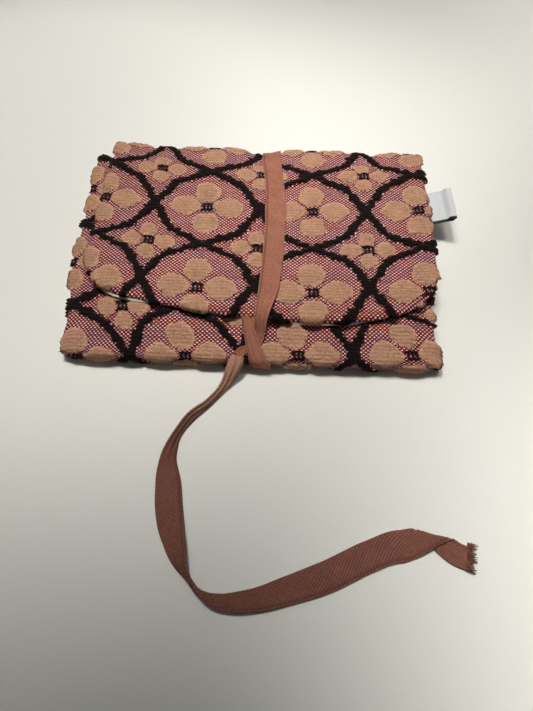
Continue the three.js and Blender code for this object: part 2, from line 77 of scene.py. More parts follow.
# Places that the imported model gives
FRONT_TOP = high("front_outer")[2]
FLAP_TOP = high("flap_outer")[2]
FLAP_LEFT = low("flap_outer")[0]
FLAP_RIGHT = high("flap_outer")[0]
FLAP_TIP = low("flap_outer")[1]
SPINE_Y = high("spine_outer")[1]
NEAR_Y = low("near_fold_outer")[1]
NEAR_JOIN_Y = high("near_fold_outer")[1]
MOUTH_Y = high("front_outer")[1]
FOLD_Y = low("spine_upper_fold")[1]
HALF_WIDTH = high("back_outer")[0]
TAPE_LANE_X = (low("strap_under_run")[0] + high("strap_under_run")[0]) / 2

# The plan of the body and its folds
FOLD_RADIUS = SPINE_Y - FOLD_Y
NEAR_RADIUS = 3.7
NEAR_CENTRE_Y = NEAR_Y + NEAR_RADIUS
NEAR_NARROWING = 2.5
NEAR_CORNER = 5
MOUTH_CORNER = 4

# Cells of the cloth meshes: two rows of cells make one rib of pile
RIB = 1.6
CELL_ACROSS = 0.72
CELL_ALONG = RIB / 2


def smooth(t):
    """A soft step from 0 to 1."""
    t = np.clip(t, 0, 1)
    return t * t * (3 - 2 * t)


def hashed(i, j, seed):
    n = np.sin(i * 127.1 + j * 311.7 + seed * 74.7) * 43758.5453
    return n - np.floor(n)


def noise(x, y, size, seed):
    """Smooth noise from -1 to 1, the same on every run."""
    x, y = x / size, y / size
    i, j = np.floor(x), np.floor(y)
    a, b = smooth(x - i), smooth(y - j)
    near = hashed(i, j, seed) * (1 - a) + hashed(i + 1, j, seed) * a
    far = hashed(i, j + 1, seed) * (1 - a) + hashed(i + 1, j + 1, seed) * a
    return 2 * (near * (1 - b) + far * b) - 1


# The line that the one outer cloth follows, from the mouth of the front to the tip of the flap

def arc(centre_y, centre_z, radius, from_degrees, to_degrees, steps=16):
    turn = np.radians(np.linspace(from_degrees, to_degrees, steps + 1))
    return list(zip(centre_y + radius * np.cos(turn), centre_z + radius * np.sin(turn)))


class FoldLine:
    """A line in depth and height; a distance along it gives a place and the way the cloth faces."""

    def __init__(self, points):
        kept = [points[0]]
        for point in points[1:]:
            if math.dist(point, kept[-1]) > 1e-6:
                kept.append(point)
        y, z = np.array(kept, float).T
        self.s = np.concatenate([[0], np.cumsum(np.hypot(np.diff(y), np.diff(z)))])
        self.y, self.z = y, z
        middles = (self.s[1:] + self.s[:-1]) / 2
        heading = np.unwrap(np.arctan2(np.diff(z), np.diff(y)))
        self.heading_s = np.concatenate([[self.s[0]], middles, [self.s[-1]]])
        self.heading = np.concatenate([[heading[0]], heading, [heading[-1]]])

    def place(self, s):
        return np.interp(s, self.s, self.y), np.interp(s, self.s, self.z)

    def tangent(self, s):
        heading = np.interp(s, self.heading_s, self.heading)
        return np.cos(heading), np.sin(heading)

    def outward(self, s):
        along_y, along_z = self.tangent(s)
        return along_z, -along_y

    def distance_to(self, y, z):
        return float(self.s[np.argmin(np.hypot(self.y - y, self.z - z))])


def densely(points, step=0.25):
    """The same line with more points, so that its turns are read at their own places."""
    line = [points[0]]
    for (y0, z0), (y1, z1) in zip(points[:-1], points[1:]):
        count = max(1, int(math.dist((y0, z0), (y1, z1)) / step))
        line += [(y0 + (y1 - y0) * i / count, z0 + (z1 - z0) * i / count) for i in range(1, count + 1)]
    return line


OUTER_LINE = FoldLine(densely([
    (MOUTH_Y, FRONT_TOP),
    *arc(NEAR_CENTRE_Y, FRONT_TOP - NEAR_RADIUS, NEAR_RADIUS, 90, 180),
    *arc(NEAR_CENTRE_Y, NEAR_RADIUS, NEAR_RADIUS, 180, 270),
    (NEAR_JOIN_Y, 0),
    *arc(FOLD_Y, FOLD_RADIUS, FOLD_RADIUS, -90, 0),
    *arc(FOLD_Y, FLAP_TOP - FOLD_RADIUS, FOLD_RADIUS, 0, 90),
    (FLAP_TIP - 1, FLAP_TOP),
]))

NEAR_JOIN = OUTER_LINE.distance_to(NEAR_JOIN_Y, 0)
SPINE_JOIN = OUTER_LINE.distance_to(SPINE_Y, FLAP_TOP / 2)
FLAP_START = OUTER_LINE.distance_to(FOLD_Y, FLAP_TOP)


def front_distance(y):
    return MOUTH_Y - y


def flap_distance(y):
    return FLAP_START + FOLD_Y - y


def half_width(y):
    """Half the body's width at a depth; it narrows towards the near fold and is rounded there."""
    from_spine = (SPINE_Y - y) / (SPINE_Y - NEAR_Y)
    side = HALF_WIDTH - NEAR_NARROWING * from_spine ** 2
    into_corner = np.clip(NEAR_Y + NEAR_CORNER - y, 0, NEAR_CORNER)
    return side - NEAR_CORNER + np.sqrt(NEAR_CORNER ** 2 - into_corner ** 2)


# The woven trellis: big and small flowers in turn, with a black line between them

# Depths of the big flowers' rows on the front and the flap; a row's number counts pitches along the cloth
FRONT_BIG_ROWS = (30.7, -15.9, -62.5)
FLAP_BIG_ROWS = (16.5, -30.7)
ROWS_AT = [front_distance(FRONT_BIG_ROWS[0]), front_distance(FRONT_BIG_ROWS[2]),
           flap_distance(FLAP_BIG_ROWS[0]), flap_distance(FLAP_BIG_ROWS[1])]
ROWS = [0, 2, 6, 7]
ROW_PITCH = 46.8
# Near the near fold the rows lean: places across, and how far the rows are moved along there
LEAN_X = [-80, -72, -26, 21.5, 67, 80]
LEAN = [3.9, 3.3, -0.8, -2.9, -5.0, -5.6]
# How much farther on the black lines cross than the flowers' middles, in the near rows and on the flap
FRONT_CROSSING_LIFT = 1.4
FLAP_CROSSING_LIFT = 3.0
# A crossing of the lines just in the front's far left corner: across, along, and its radius
CORNER_CROSSING = (-78.5, 0.6, 3.6)
# At distances along the cloth: the pitch across of big flowers, and the place of one of their columns
COLUMN_PITCH_AT = [0, front_distance(-16), front_distance(-40), front_distance(NEAR_Y), NEAR_JOIN, FLAP_START]
COLUMN_PITCH = [49.4, 49.0, 47.7, 46.4, 46.4, 49.4]
COLUMN_AT = [0, front_distance(-39), front_distance(-58), NEAR_JOIN, FLAP_START]
COLUMN = [66.8, 64.9, 68.0, 68.0, 76.4]
# The flap's rows bend in an arc: its middle, half width and depth, and how far they all move back
SAG_MIDDLE_X = 14
SAG_REACH = 62
SAG_DEPTH = 3.4
SAG_LIFT = 1.8
LINE_HALF_WIDTH = 1.9
# The trellis's lines bend outwards round a big flower, at this share of the way to its neighbour
SHOULDER = 0.3175
SHOULDER_ROUNDING = 0.025
# The lines go up in steps of this height; at a share of 1 the steps would be square
STAIR = 2.4
STAIR_SHARE = 0.7

# Petals: middle across and along, half width, half height and how square, from the flower's middle
BIG_PETALS = [(-0.6, 9.4, 6.1, 6.3, 2.1), (-10.3, 0.2, 7.5, 6.6, 1.5),
              (10.3, 0.2, 7.5, 6.6, 1.5), (0, -9.9, 6.3, 5.9, 2.2)]
SMALL_PETALS = [(-0.6, 6.1, 4.1, 4.1, 2.1), (-7.6, 0, 5.0, 4.5, 1.6),
                (7.6, 0, 5.0, 4.5, 1.6), (0, -6.2, 4.2, 4.0, 2.1)]
# Black stitches in the middle of a flower, as strokes from one point to another
STITCHES = [((-2.4, 1.7), (2.7, 2.0)), ((-2.9, -1.9), (2.4, -1.8)), ((-1.2, 1.9), (-1.4, -1.9)),
            ((0.5, 1.9), (0.4, -1.8)), ((2.0, 1.9), (2.3, -1.8))]
STITCH_ARCH = 0.05
STITCH_HALF_WIDTH = 0.52


def extended(s, at, values):
    """Linear interpolation that goes on past its first and last points."""
    first = (values[1] - values[0]) / (at[1] - at[0])
    last = (values[-1] - values[-2]) / (at[-1] - at[-2])
    inside = np.interp(s, at, values)
    return inside + np.minimum(s - at[0], 0) * first + np.maximum(s - at[-1], 0) * last


def petal_distance(across, along, petals):
    """Roughly how far it is to the nearest petal's rim, negative inside."""
    nearest = np.full(across.shape, 99.0)
    for x, y, half_x, half_y, power in petals:
        aside, up = np.abs((across - x) / half_x), np.abs((along - y) / half_y)
        share = (aside ** power + up ** power) ** (1 / power)
        nearest = np.minimum(nearest, (share - 1) * min(half_x, half_y))
    return nearest


def stitch_distance(across, along):
    along = along + STITCH_ARCH * across ** 2
    nearest = np.full(across.shape, 99.0)
    for (x0, y0), (x1, y1) in STITCHES:
        length = (x1 - x0) ** 2 + (y1 - y0) ** 2
        t = np.clip(((across - x0) * (x1 - x0) + (along - y0) * (y1 - y0)) / length, 0, 1)
        nearest = np.minimum(nearest, np.hypot(across - x0 - t * (x1 - x0), along - y0 - t * (y1 - y0)))
    return nearest - STITCH_HALF_WIDTH


def shouldered(share):
    """Warps pitches so that straight diamonds get shoulders; also gives how much it stretches them."""
    warped, stretch = np.zeros_like(share), np.zeros_like(share)
    for shift in (-SHOULDER_ROUNDING, 0, SHOULDER_ROUNDING):
        whole = np.round(share + shift)
        part = share + shift - whole
        near = np.minimum(np.abs(part), SHOULDER) * 0.25 / SHOULDER
        far = np.maximum(np.abs(part) - SHOULDER, 0) * 0.25 / (0.5 - SHOULDER)
        warped += (whole + np.sign(part) * (near + far) - shift) / 3
        stretch += np.where(np.abs(part) < SHOULDER, 0.25 / SHOULDER, 0.25 / (0.5 - SHOULDER)) / 3
    return warped, stretch


def trellis(x, s):
    """Distances, negative inside, to the black line, the petals and the stitches."""
    pick = np.round(s / CELL_ALONG)
    jitter = 0.8 * (hashed(pick, 3, 1) - 0.5)
    between_picks = np.abs((s / RIB) % 1 - 0.5) * 2
    sag = -SAG_LIFT + SAG_DEPTH * ((x - SAG_MIDDLE_X) / SAG_REACH) ** 2
    s = s + sag * smooth((s - SPINE_JOIN) / 20)
    pitch = np.interp(s, COLUMN_PITCH_AT, COLUMN_PITCH)
    u = (x - np.interp(s, COLUMN_AT, COLUMN)) / pitch
    near_rows = smooth((s - front_distance(-36)) / 14) * smooth((NEAR_JOIN + 30 - s) / 28)
    s = s - near_rows * np.interp(x, LEAN_X, LEAN)
    v = extended(s, ROWS_AT, ROWS)
    lift = FRONT_CROSSING_LIFT * near_rows + FLAP_CROSSING_LIFT * smooth((s - flap_distance(0)) / 20)
    stepped = s + STAIR_SHARE * (np.round(s / STAIR) * STAIR - s)
    line_v = extended(stepped + lift, ROWS_AT, ROWS)

    ragged = (1.4 * jitter + 0.6 * noise(x, s, 2.2, 5)) / pitch
    a, stretch_a = shouldered(u + ragged)
    b, stretch_b = shouldered(line_v + 0.3 * noise(x, s, 2.5, 6) / ROW_PITCH)
    per_mm = np.sqrt((stretch_a / pitch) ** 2 + (stretch_b / ROW_PITCH) ** 2)
    line = np.full(x.shape, 99.0)
    for across_line in (a + b - 0.5, a - b - 0.5):
        line = np.minimum(line, np.abs(across_line - np.round(across_line)) / per_mm)
    line = line - LINE_HALF_WIDTH + 0.3 * noise(x, s, 4.0, 7) + 0.7 * (between_picks - 0.5)
    line = np.minimum(line, np.hypot(x - CORNER_CROSSING[0], s - CORNER_CROSSING[1]) - CORNER_CROSSING[2])

    petal = np.full(x.shape, 99.0)
    stitch = np.full(x.shape, 99.0)
    for shift, petals in ((0, BIG_PETALS), (0.5, SMALL_PETALS)):
        across = (u - shift - np.round(u - shift)) * pitch
        along = -(v - shift - np.round(v - shift)) * ROW_PITCH
        petal = np.minimum(petal, petal_distance(across + jitter, along, petals))
        stitch = np.minimum(stitch, stitch_distance(across + 0.4 * jitter, along))
    petal = petal + 0.55 * noise(x, s, 1.6, 8) + 0.3 * (between_picks - 0.5) + 0.15
    return line, petal, stitch


# The tape's way over the flap, where it presses the pile down
TAPE_PRESS_AT = [FLAP_START, flap_distance(22), flap_distance(-10), flap_distance(-32), flap_distance(-47)]
TAPE_PRESS_X = [6.3, 9.4, 9.7, 8.2, 5.9]
TAPE_LANE_HALF = 5.6
PRESSED_SHARE = 0.45


# Heights of the lines and the stitches as shares of the petals', and how deep the ribs' valleys are
LINE_PILE = 0.95
STITCH_PILE = 0.75
RIB_VALLEY = 0.2


def crown(depth, rounding):
    """Height share of pile at a depth inside its edge."""
    t = np.clip(depth / rounding, 0, 1)
    return np.sqrt(1 - (1 - t) ** 2)


def pile_height(x, s, masks, pile):
    """How far the pile stands out at a place on the cloth; the tape presses it down."""
    line, petal, stitch = masks
    height = np.maximum(LINE_PILE * crown(-line, 1.3), crown(-petal, 2.1))
    height = np.maximum(height, STITCH_PILE * crown(-stitch, 0.6))
    valley = np.abs((s / RIB + 0.15 * noise(x, s, 6, 12)) % 1 - 0.5) * 2
    tufts = 1 + 0.24 * noise(x, s, 1.5, 11) + 0.12 * noise(x, s, 3.5, 13)
    height = height * (1 - RIB_VALLEY * valley) * tufts
    from_tape = np.abs(x - np.interp(s, TAPE_PRESS_AT, TAPE_PRESS_X)) - TAPE_LANE_HALF
    pressed = 1 - PRESSED_SHARE * smooth(0.8 - from_tape) * (s > SPINE_JOIN)
    return pile * height * pressed


# How the tied tape and the pouch's own softness draw it in, the same way for every piece

# Depths, and how far the left and the right side are drawn in there
DRAWN_AT = [-61, -56, -48, -36, -29, -17, 20, 50]
DRAWN_LEFT = [1.2, 2.1, 3.6, 3.1, 1.6, 0.4, 0.4, -1.2]
DRAWN_RIGHT = [-1.2, 0, 1.8, 2.4, 1.8, 0.8, -1.6, 0]
# How far the far edge sinks and is drawn in, and where in depth that starts
FAR_DROP = 2.0
FAR_DRAW = 1.7
FAR_START = 38
FAR_REACH = 21
# The share of the drop at the far left corner, and what is added to it away from the corner
CORNER_DIP = 0.15
EDGE_DIP = 0.75
# Dips of the far edge: middle, half width and depth as a share of the drop
FAR_DIPS = [(3, 9, 1.1), (58, 9, 0.5)]
# The far left corner of the front sticks out behind by this much
CORNER_PULL = 4.5
# The sides are pressed towards half their height, most of all near the near edge
SIDE_PINCH = 0.18
NEAR_PINCH = 0.5
# The near edge slopes down towards its fold by this share of its height, from this depth on
NEAR_SLOPE = 0.3
NEAR_SLOPE_START = -42
NEAR_SLOPE_REACH = 19


def settled(points, below_flap=True):
    """Moves points from the trim closed shape to the soft one; pieces below the flap are drawn in too."""
    x, y, z = points[..., 0], points[..., 1], points[..., 2]
    height = np.clip(z / FLAP_TOP, 0, 1.1)
    dip = CORNER_DIP + EDGE_DIP * smooth((x + 76) / 26)
    for middle, reach, depth in FAR_DIPS:
        dip = dip + depth * np.exp(-((x - middle) / reach) ** 2)
    far = dip * height * smooth((y - FAR_START) / FAR_REACH)
    slope = 1 - NEAR_SLOPE * smooth((NEAR_SLOPE_START - y) / NEAR_SLOPE_REACH)
    new_x, new_y = x, y - FAR_DRAW * far
    new_z = (z - FAR_DROP * far) * slope
    if below_flap:
        drawn = np.where(x < 0, np.interp(y, DRAWN_AT, DRAWN_LEFT), np.interp(y, DRAWN_AT, DRAWN_RIGHT))
        new_x = x - np.sign(x) * drawn * smooth((np.abs(x) - 46) / 36)
        middle = FRONT_TOP / 2 * slope
        at_side = smooth((np.abs(x) - half_width(y) + 6) / 7)
        pinch = at_side * (SIDE_PINCH + NEAR_PINCH * smooth((-50 - y) / 9)) * smooth((55 - y) / 9)
        new_z = new_z + (middle - new_z) * pinch * (z < FRONT_TOP + 1)
        new_y = new_y + CORNER_PULL * height * smooth((-72 - x) / 8) * smooth((y - 40) / 12)
    return np.stack([new_x, new_y, new_z], -1)


# Meshes

def new_object(name, bm, material):
    """A finished piece at the origin, from a bmesh that is freed."""
    mesh = bpy.data.meshes.new(name)
    bm.to_mesh(mesh)
    bm.free()
    mesh.polygons.foreach_set("use_smooth", np.ones(len(mesh.polygons), bool))
    mesh.materials.append(material)
    piece = bpy.data.objects.new(name, mesh)
    bpy.context.scene.collection.objects.link(piece)
    return piece


def read_points(mesh):
    co = np.empty(len(mesh.vertices) * 3)
    mesh.vertices.foreach_get("co", co)
    return co.reshape(-1, 3)


def write_points(mesh, points, below_flap=True):
    points = settled(points, below_flap)
    mesh.vertices.foreach_set("co", (points / METRE).astype(np.float32).ravel())
    mesh.update()


def write_values(mesh, name, values):
    kind = "FLOAT_VECTOR" if values.ndim == 2 else "FLOAT"
    key = "vector" if values.ndim == 2 else "value"
    layer = mesh.attributes.get(name) or mesh.attributes.new(name, kind, "POINT")
    layer.data.foreach_set(key, values.astype(np.float32).ravel())


def nearest_on(outline, points, chosen=None):
    """For each point, its nearest place on the closed outline, the distance, and the way out there."""
    starts = np.array(outline, float)
    ends = np.roll(starts, -1, axis=0)
    ways = ends - starts
    area = np.sum(starts[:, 0] * ends[:, 1] - ends[:, 0] * starts[:, 1])
    lengths = np.maximum((ways ** 2).sum(1), 1e-12)
    outs = np.stack([ways[:, 1], -ways[:, 0]], 1) / np.sqrt(lengths)[:, None] * np.sign(area)
    if chosen is not None:
        starts, ways, lengths, outs = starts[chosen], ways[chosen], lengths[chosen], outs[chosen]
    place, distance, way_out = [], [], []
    for chunk in np.array_split(points, max(1, len(points) // 4000)):
        offset = chunk[:, None, :] - starts[None]
        t = np.clip((offset * ways).sum(2) / lengths, 0, 1)
        foot = starts[None] + t[..., None] * ways
        gap = np.linalg.norm(chunk[:, None, :] - foot, axis=2)
        best = gap.argmin(1)
        rows = np.arange(len(chunk))
        place.append(foot[rows, best])
        distance.append(gap[rows, best])
        way_out.append(outs[best])
    return np.concatenate(place), np.concatenate(distance), np.concatenate(way_out)


def inside(outline, points):
    """For each point, whether it is inside the closed outline."""
    starts = np.array(outline, float)
    ends = np.roll(starts, -1, axis=0)
    crossings = np.zeros(len(points), int)
    for (x0, y0), (x1, y1) in zip(starts, ends):
        spans = (y0 > points[:, 1]) != (y1 > points[:, 1])
        if y0 != y1:
            at = x0 + (points[:, 1] - y0) / (y1 - y0) * (x1 - x0)
            crossings += spans & (points[:, 0] < at)
    return crossings % 2 == 1


def spaced(start, end, cell):
    """Evenly spaced places from start to end, about a cell apart."""
    count = max(1, round((end - start) / cell))
    return np.linspace(start, end, count + 1)


def cut_sheet(outline, across, along):
    """A closed sheet one unit thick, cut to an outline: its upper side is at 0 and its lower one at -1."""
    bm = bmesh.new()
    columns, rows = len(across) - 1, len(along) - 1
    bmesh.ops.create_grid(bm, x_segments=columns, y_segments=rows, size=0.5)
    for vert in bm.verts:
        vert.co.x = across[round((vert.co.x + 0.5) * columns)]
        vert.co.y = along[round((vert.co.y + 0.5) * rows)]
    centres = np.array([face.calc_center_median()[:2] for face in bm.faces])
    kept = inside(outline, centres)
    dropped = [face for face, keep in zip(bm.faces, kept) if not keep]
    bmesh.ops.delete(bm, geom=dropped, context="FACES")
    pinched = [v for v in bm.verts if sum(e.is_boundary for e in v.link_edges) > 2]
    while pinched:
        bmesh.ops.delete(bm, geom=list({f for v in pinched for f in v.link_faces[:1]}), context="FACES")
        pinched = [v for v in bm.verts if sum(e.is_boundary for e in v.link_edges) > 2]
    rim = [v for v in bm.verts if v.is_boundary]
    places, _, _ = nearest_on(outline, np.array([v.co[:2] for v in rim]))
    for vert, (x, y) in zip(rim, places):
        vert.co.x, vert.co.y = x, y
    bmesh.ops.solidify(bm, geom=bm.faces[:], thickness=1.0)
    bmesh.ops.recalc_face_normals(bm, faces=bm.faces[:])
    return bm


def skin(rings, across, along, below_flap=True):
    """A closed tube through rings of points, with its place on the cloth kept as an attribute."""
    count, around = rings.shape[:2]
    bm = bmesh.new()
    bmesh.ops.create_grid(bm, x_segments=around, y_segments=count - 1, size=0.5)
    cloth = bm.verts.layers.float_vector.new("cloth")
    rings = settled(rings, below_flap)
    for vert in bm.verts:
        column = round((vert.co.x + 0.5) * around) % around
        row = round((vert.co.y + 0.5) * (count - 1))
        vert.co = rings[row, column] / METRE
        vert[cloth] = (across[row, column], along[row], 0)
    bmesh.ops.remove_doubles(bm, verts=bm.verts[:], dist=1e-7)
    ends = [edge for edge in bm.edges if edge.is_boundary]
    bmesh.ops.holes_fill(bm, edges=ends, sides=0)
    bmesh.ops.recalc_face_normals(bm, faces=bm.faces[:])
    return bm


# Shader nodes

class Tree:
    """Adds nodes to one tree and gives back their outputs."""

    def __init__(self, tree):
        self.tree = tree

    def node(self, kind, inputs, **settings):
        node = self.tree.nodes.new(kind)
        for name, value in settings.items():
            setattr(node, name, value)
        for key, value in inputs.items():
            if isinstance(value, bpy.types.NodeSocket):
                self.tree.links.new(value, node.inputs[key])
            else:
                node.inputs[key].default_value = value
        return node

    def add(self, kind, inputs, output=0, **settings):
        return self.node(kind, inputs, **settings).outputs[output]

    def math(self, operation, a, b=0.0, c=0.0):
        return self.add("ShaderNodeMath", {0: a, 1: b, 2: c}, operation=operation)

    def times(self, a, b):
        return self.math("MULTIPLY", a, b)

    def scaled(self, value, factor, offset):
        return self.math("MULTIPLY_ADD", value, factor, offset)

    def ramp(self, value, start, end, to_start=0.0, to_end=1.0):
        return self.add("ShaderNodeMapRange", {"Value": value, "From Min": start, "From Max": end,
                                               "To Min": to_start, "To Max": to_end},
                        interpolation_type="SMOOTHSTEP")

    def mix(self, share, a, b, blend="MIX"):
        return self.add("ShaderNodeMix", {0: share, 6: a, 7: b}, 2, data_type="RGBA", blend_type=blend)

    def tinted(self, colour, shade):
        """The colour made lighter or darker by a shade."""
        return self.mix(1.0, colour, self.vector(shade, shade, shade), "MULTIPLY")

    def vector(self, x, y, z=0.0):
        return self.add("ShaderNodeCombineXYZ", {0: x, 1: y, 2: z})

    def split(self, vector):
        return self.node("ShaderNodeSeparateXYZ", {0: vector}).outputs

    def noise(self, vector, scale, detail=2.0, roughness=0.5):
        return self.add("ShaderNodeTexNoise", {"Vector": vector, "Scale": scale, "Detail": detail,
                                               "Roughness": roughness})

    def attribute(self, name, output="Fac"):
        return self.add("ShaderNodeAttribute", {}, output, attribute_name=name)

    def place_group(self, shared, inputs):
        return self.node("ShaderNodeGroup", inputs, node_tree=shared).outputs


def group(name, inputs, outputs, build):
    """A shader node group: inputs and outputs are lists of a name and a kind."""
    tree = bpy.data.node_groups.new(name, "ShaderNodeTree")
    for label, kind in inputs:
        tree.interface.new_socket(name=label, in_out="INPUT", socket_type=f"NodeSocket{kind}")
    for label, kind in outputs:
        tree.interface.new_socket(name=label, in_out="OUTPUT", socket_type=f"NodeSocket{kind}")
    entry = tree.nodes.new("NodeGroupInput")
    results = build(Tree(tree), entry.outputs)
    leave = tree.nodes.new("NodeGroupOutput")
    for label, socket in results.items():
        tree.links.new(socket, leave.inputs[label])
    return tree


def checked_ground(tree, cloth, pitch):
    """Woven dots in a checker: a mask of the light dots, one random number for each, and their height."""
    u, v, _ = tree.split(cloth)
    column = tree.math("DIVIDE", u, pitch)
    row = tree.math("DIVIDE", v, tree.times(pitch, 0.88))
    column_floor = tree.math("FLOOR", column)
    row_floor = tree.math("FLOOR", row)
    parity = tree.math("FLOORED_MODULO", tree.math("ADD", column_floor, row_floor), 2.0)
    from_x = tree.times(tree.math("SUBTRACT", tree.math("FRACT", column), 0.5), 0.85)
    from_y = tree.math("SUBTRACT", tree.math("FRACT", row), 0.5)
    apart = tree.math("SQRT", tree.math("ADD", tree.times(from_x, from_x), tree.times(from_y, from_y)))
    dot = tree.ramp(apart, 0.47, 0.31)
    random = tree.add("ShaderNodeTexWhiteNoise", {"Vector": tree.vector(column_floor, row_floor)},
                      noise_dimensions="3D")
    return tree.times(dot, parity), random, dot, row_floor


def build_chenille(tree, given):
    """Petals and lines of pile on a ground of woven dots, from the distances to their edges."""
    cloth = given["Cloth"]
    wobble = tree.math("SUBTRACT", tree.noise(cloth, 1.5, 4.0, 0.65), 0.5)
    ragged = tree.math("SUBTRACT", tree.noise(cloth, 0.8, 3.0, 0.75), 0.5)
    line = tree.scaled(wobble, 2.2, given["Line"])
    petal = tree.scaled(wobble, 3.0, tree.scaled(ragged, 2.4, given["Petal"]))
    stitch = tree.scaled(wobble, 0.9, given["Stitch"])
    petal_mask = tree.ramp(petal, 0.3, -0.25)
    black_mask = tree.math("MAXIMUM", tree.ramp(line, 0.2, -0.2), tree.ramp(stitch, 0.15, -0.15))

    light, random, dot, row = checked_ground(tree, cloth, given["Dot pitch"])
    band = tree.noise(tree.vector(0.0, row), 0.43, 1.0)
    patch = tree.noise(cloth, 0.06, 2.0)
    purple = tree.ramp(tree.math("ADD", band, tree.times(patch, 0.5)), 0.78, 0.9)
    gold = tree.ramp(tree.noise(tree.vector(5.0, row), 0.61, 1.0), 0.52, 0.62)
    dark = tree.mix(purple, given["Burgundy"], given["Purple"])
    pale = tree.mix(tree.times(gold, 0.75), given["Cream"], given["Gold"])
    pale = tree.mix(tree.times(purple, 0.4), pale, given["Lilac"])
    pale = tree.mix(tree.times(random, 0.4), pale, given["Pink"])
    dark = tree.mix(tree.times(random, 0.06), dark, given["Pink"])
    ground = tree.mix(light, dark, pale)

    u, v, _ = tree.split(cloth)
    bent_v = tree.scaled(tree.noise(cloth, 0.4, 2.0), 1.6, v)
    rib_wave = tree.math("SINE", tree.times(bent_v, 2 * math.pi / RIB))
    fibre = tree.noise(tree.vector(tree.times(u, 1.0), tree.times(v, 1.4)), 2.6, 4.0, 0.65)
    blotch = tree.noise(cloth, 0.16, 2.0)
    tuft = tree.noise(tree.vector(tree.times(u, 0.8), v), 1.15, 2.0, 0.75)
    # The rib wave makes the petals' colour darker in the ribs' valleys and lighter on their crests, as
    # painted shade and light; fibre, tuft and blotch are the pile's own uneven tone
    shade = tree.scaled(rib_wave, 0.11, tree.scaled(fibre, 0.8, 0.6))
    shade = tree.times(shade, tree.scaled(tuft, 1.3, 0.35))
    shade = tree.times(shade, tree.scaled(blotch, 0.5, 0.75))
    # Painted highlight: the petals' colour is lighter towards their rims
    edge = tree.ramp(petal, -1.7, -0.2, 0.93, 1.2)
    tan = tree.tinted(given["Tan"], tree.times(shade, edge))
    black = tree.mix(tree.times(fibre, 0.35), given["Black"], given["Black fibre"])

    colour = tree.mix(petal_mask, ground, tan)
    colour = tree.mix(black_mask, colour, black)
    pile = tree.math("MAXIMUM", petal_mask, black_mask)
    woven = tree.times(dot, tree.math("SUBTRACT", 1.0, pile))
    rough = tree.scaled(tuft, 2.4, tree.times(fibre, 1.2))
    tufted = tree.times(tree.scaled(rib_wave, 0.3, rough), pile)
    height = tree.math("ADD", tree.times(woven, 0.35), tufted)
    return {"Color": colour, "Height": height, "Pile": pile}


def build_weave(tree, given):
    """Threads over and under each other, turned by an angle, with a share of diagonal ridges."""
    turned = tree.add("ShaderNodeVectorRotate", {"Vector": given["Cloth"], "Angle": given["Turn"]},
                      rotation_type="Z_AXIS")
    u, v, _ = tree.split(turned)
    over = tree.math("SINE", tree.times(tree.math("DIVIDE", u, given["Thread"]), math.pi))
    under = tree.math("SINE", tree.times(tree.math("DIVIDE", v, given["Thread"]), math.pi))
    across_ridges = tree.math("DIVIDE", u, given["Ridge pitch"])
    ridge = tree.math("SINE", tree.times(across_ridges, 2 * math.pi))
    plain = tree.times(over, under)
    woven = tree.scaled(tree.math("SUBTRACT", ridge, plain), given["Ridges"], plain)
    slub = tree.noise(tree.vector(tree.times(u, 0.3), v), 1.7, 3.0)
    height = tree.scaled(woven, 0.5, slub)
    return {"Value": tree.scaled(woven, 0.5, 0.5), "Slub": slub, "Height": height}


def start_material(name):
    material = bpy.data.materials.new(name)
    material.use_nodes = True
    material.node_tree.nodes.clear()
    return material, Tree(material.node_tree)


def end_material(tree, colour, height, roughness, depth, sheen, sheen_tint, specular=0.2):
    """The cloth's shader; depth is the height of the relief in metres."""
    normal = tree.add("ShaderNodeBump", {"Height": height, "Distance": depth, "Strength": 1.0})
    inputs = {"Base Color": colour, "Roughness": roughness, "Normal": normal, "Sheen Weight": sheen,
              "Sheen Roughness": 0.5, "Sheen Tint": (*sheen_tint, 1), "Specular IOR Level": specular}
    tree.node("ShaderNodeOutputMaterial", {"Surface": tree.add("ShaderNodeBsdfPrincipled", inputs)})


# The chenille's thread and pile colours; each has a setting of the same name
THREADS = ("Cream", "Pink", "Gold", "Burgundy", "Purple", "Lilac", "Tan", "Black", "Black fibre")


def chenille_material(settings):
    shared = group(
        "Chenille trellis",
        [("Cloth", "Vector"), ("Line", "Float"), ("Petal", "Float"), ("Stitch", "Float"),
         ("Dot pitch", "Float"), *((label, "Color") for label in THREADS)],
        [("Color", "Color"), ("Height", "Float"), ("Pile", "Float")],
        build_chenille,
    )
    material, tree = start_material("chenille_cloth")
    result = tree.place_group(shared, {
        "Cloth": tree.attribute("cloth", "Vector"),
        "Line": tree.attribute("line"),
        "Petal": tree.attribute("petal"),
        "Stitch": tree.attribute("stitch"),
        "Dot pitch": settings.dot_pitch * METRE,
        **{label: (*getattr(settings, label.lower().replace(" ", "_")), 1) for label in THREADS},
    })
    roughness = tree.ramp(result["Pile"], 0.0, 1.0, 0.82, 0.97)
    end_material(tree, result["Color"], result["Height"], roughness, 0.00035, 0.1, settings.tan, 0.12)
    return material


def weave_group():
    return bpy.data.node_groups.get("Plain weave") or group(
        "Plain weave",
        [("Cloth", "Vector"), ("Thread", "Float"), ("Turn", "Float"), ("Ridges", "Float"),
         ("Ridge pitch", "Float")],
        [("Value", "Float"), ("Slub", "Float"), ("Height", "Float")],
        build_weave,
    )


LINING_THREAD = 0.42
LINING_CONTRAST = 0.16


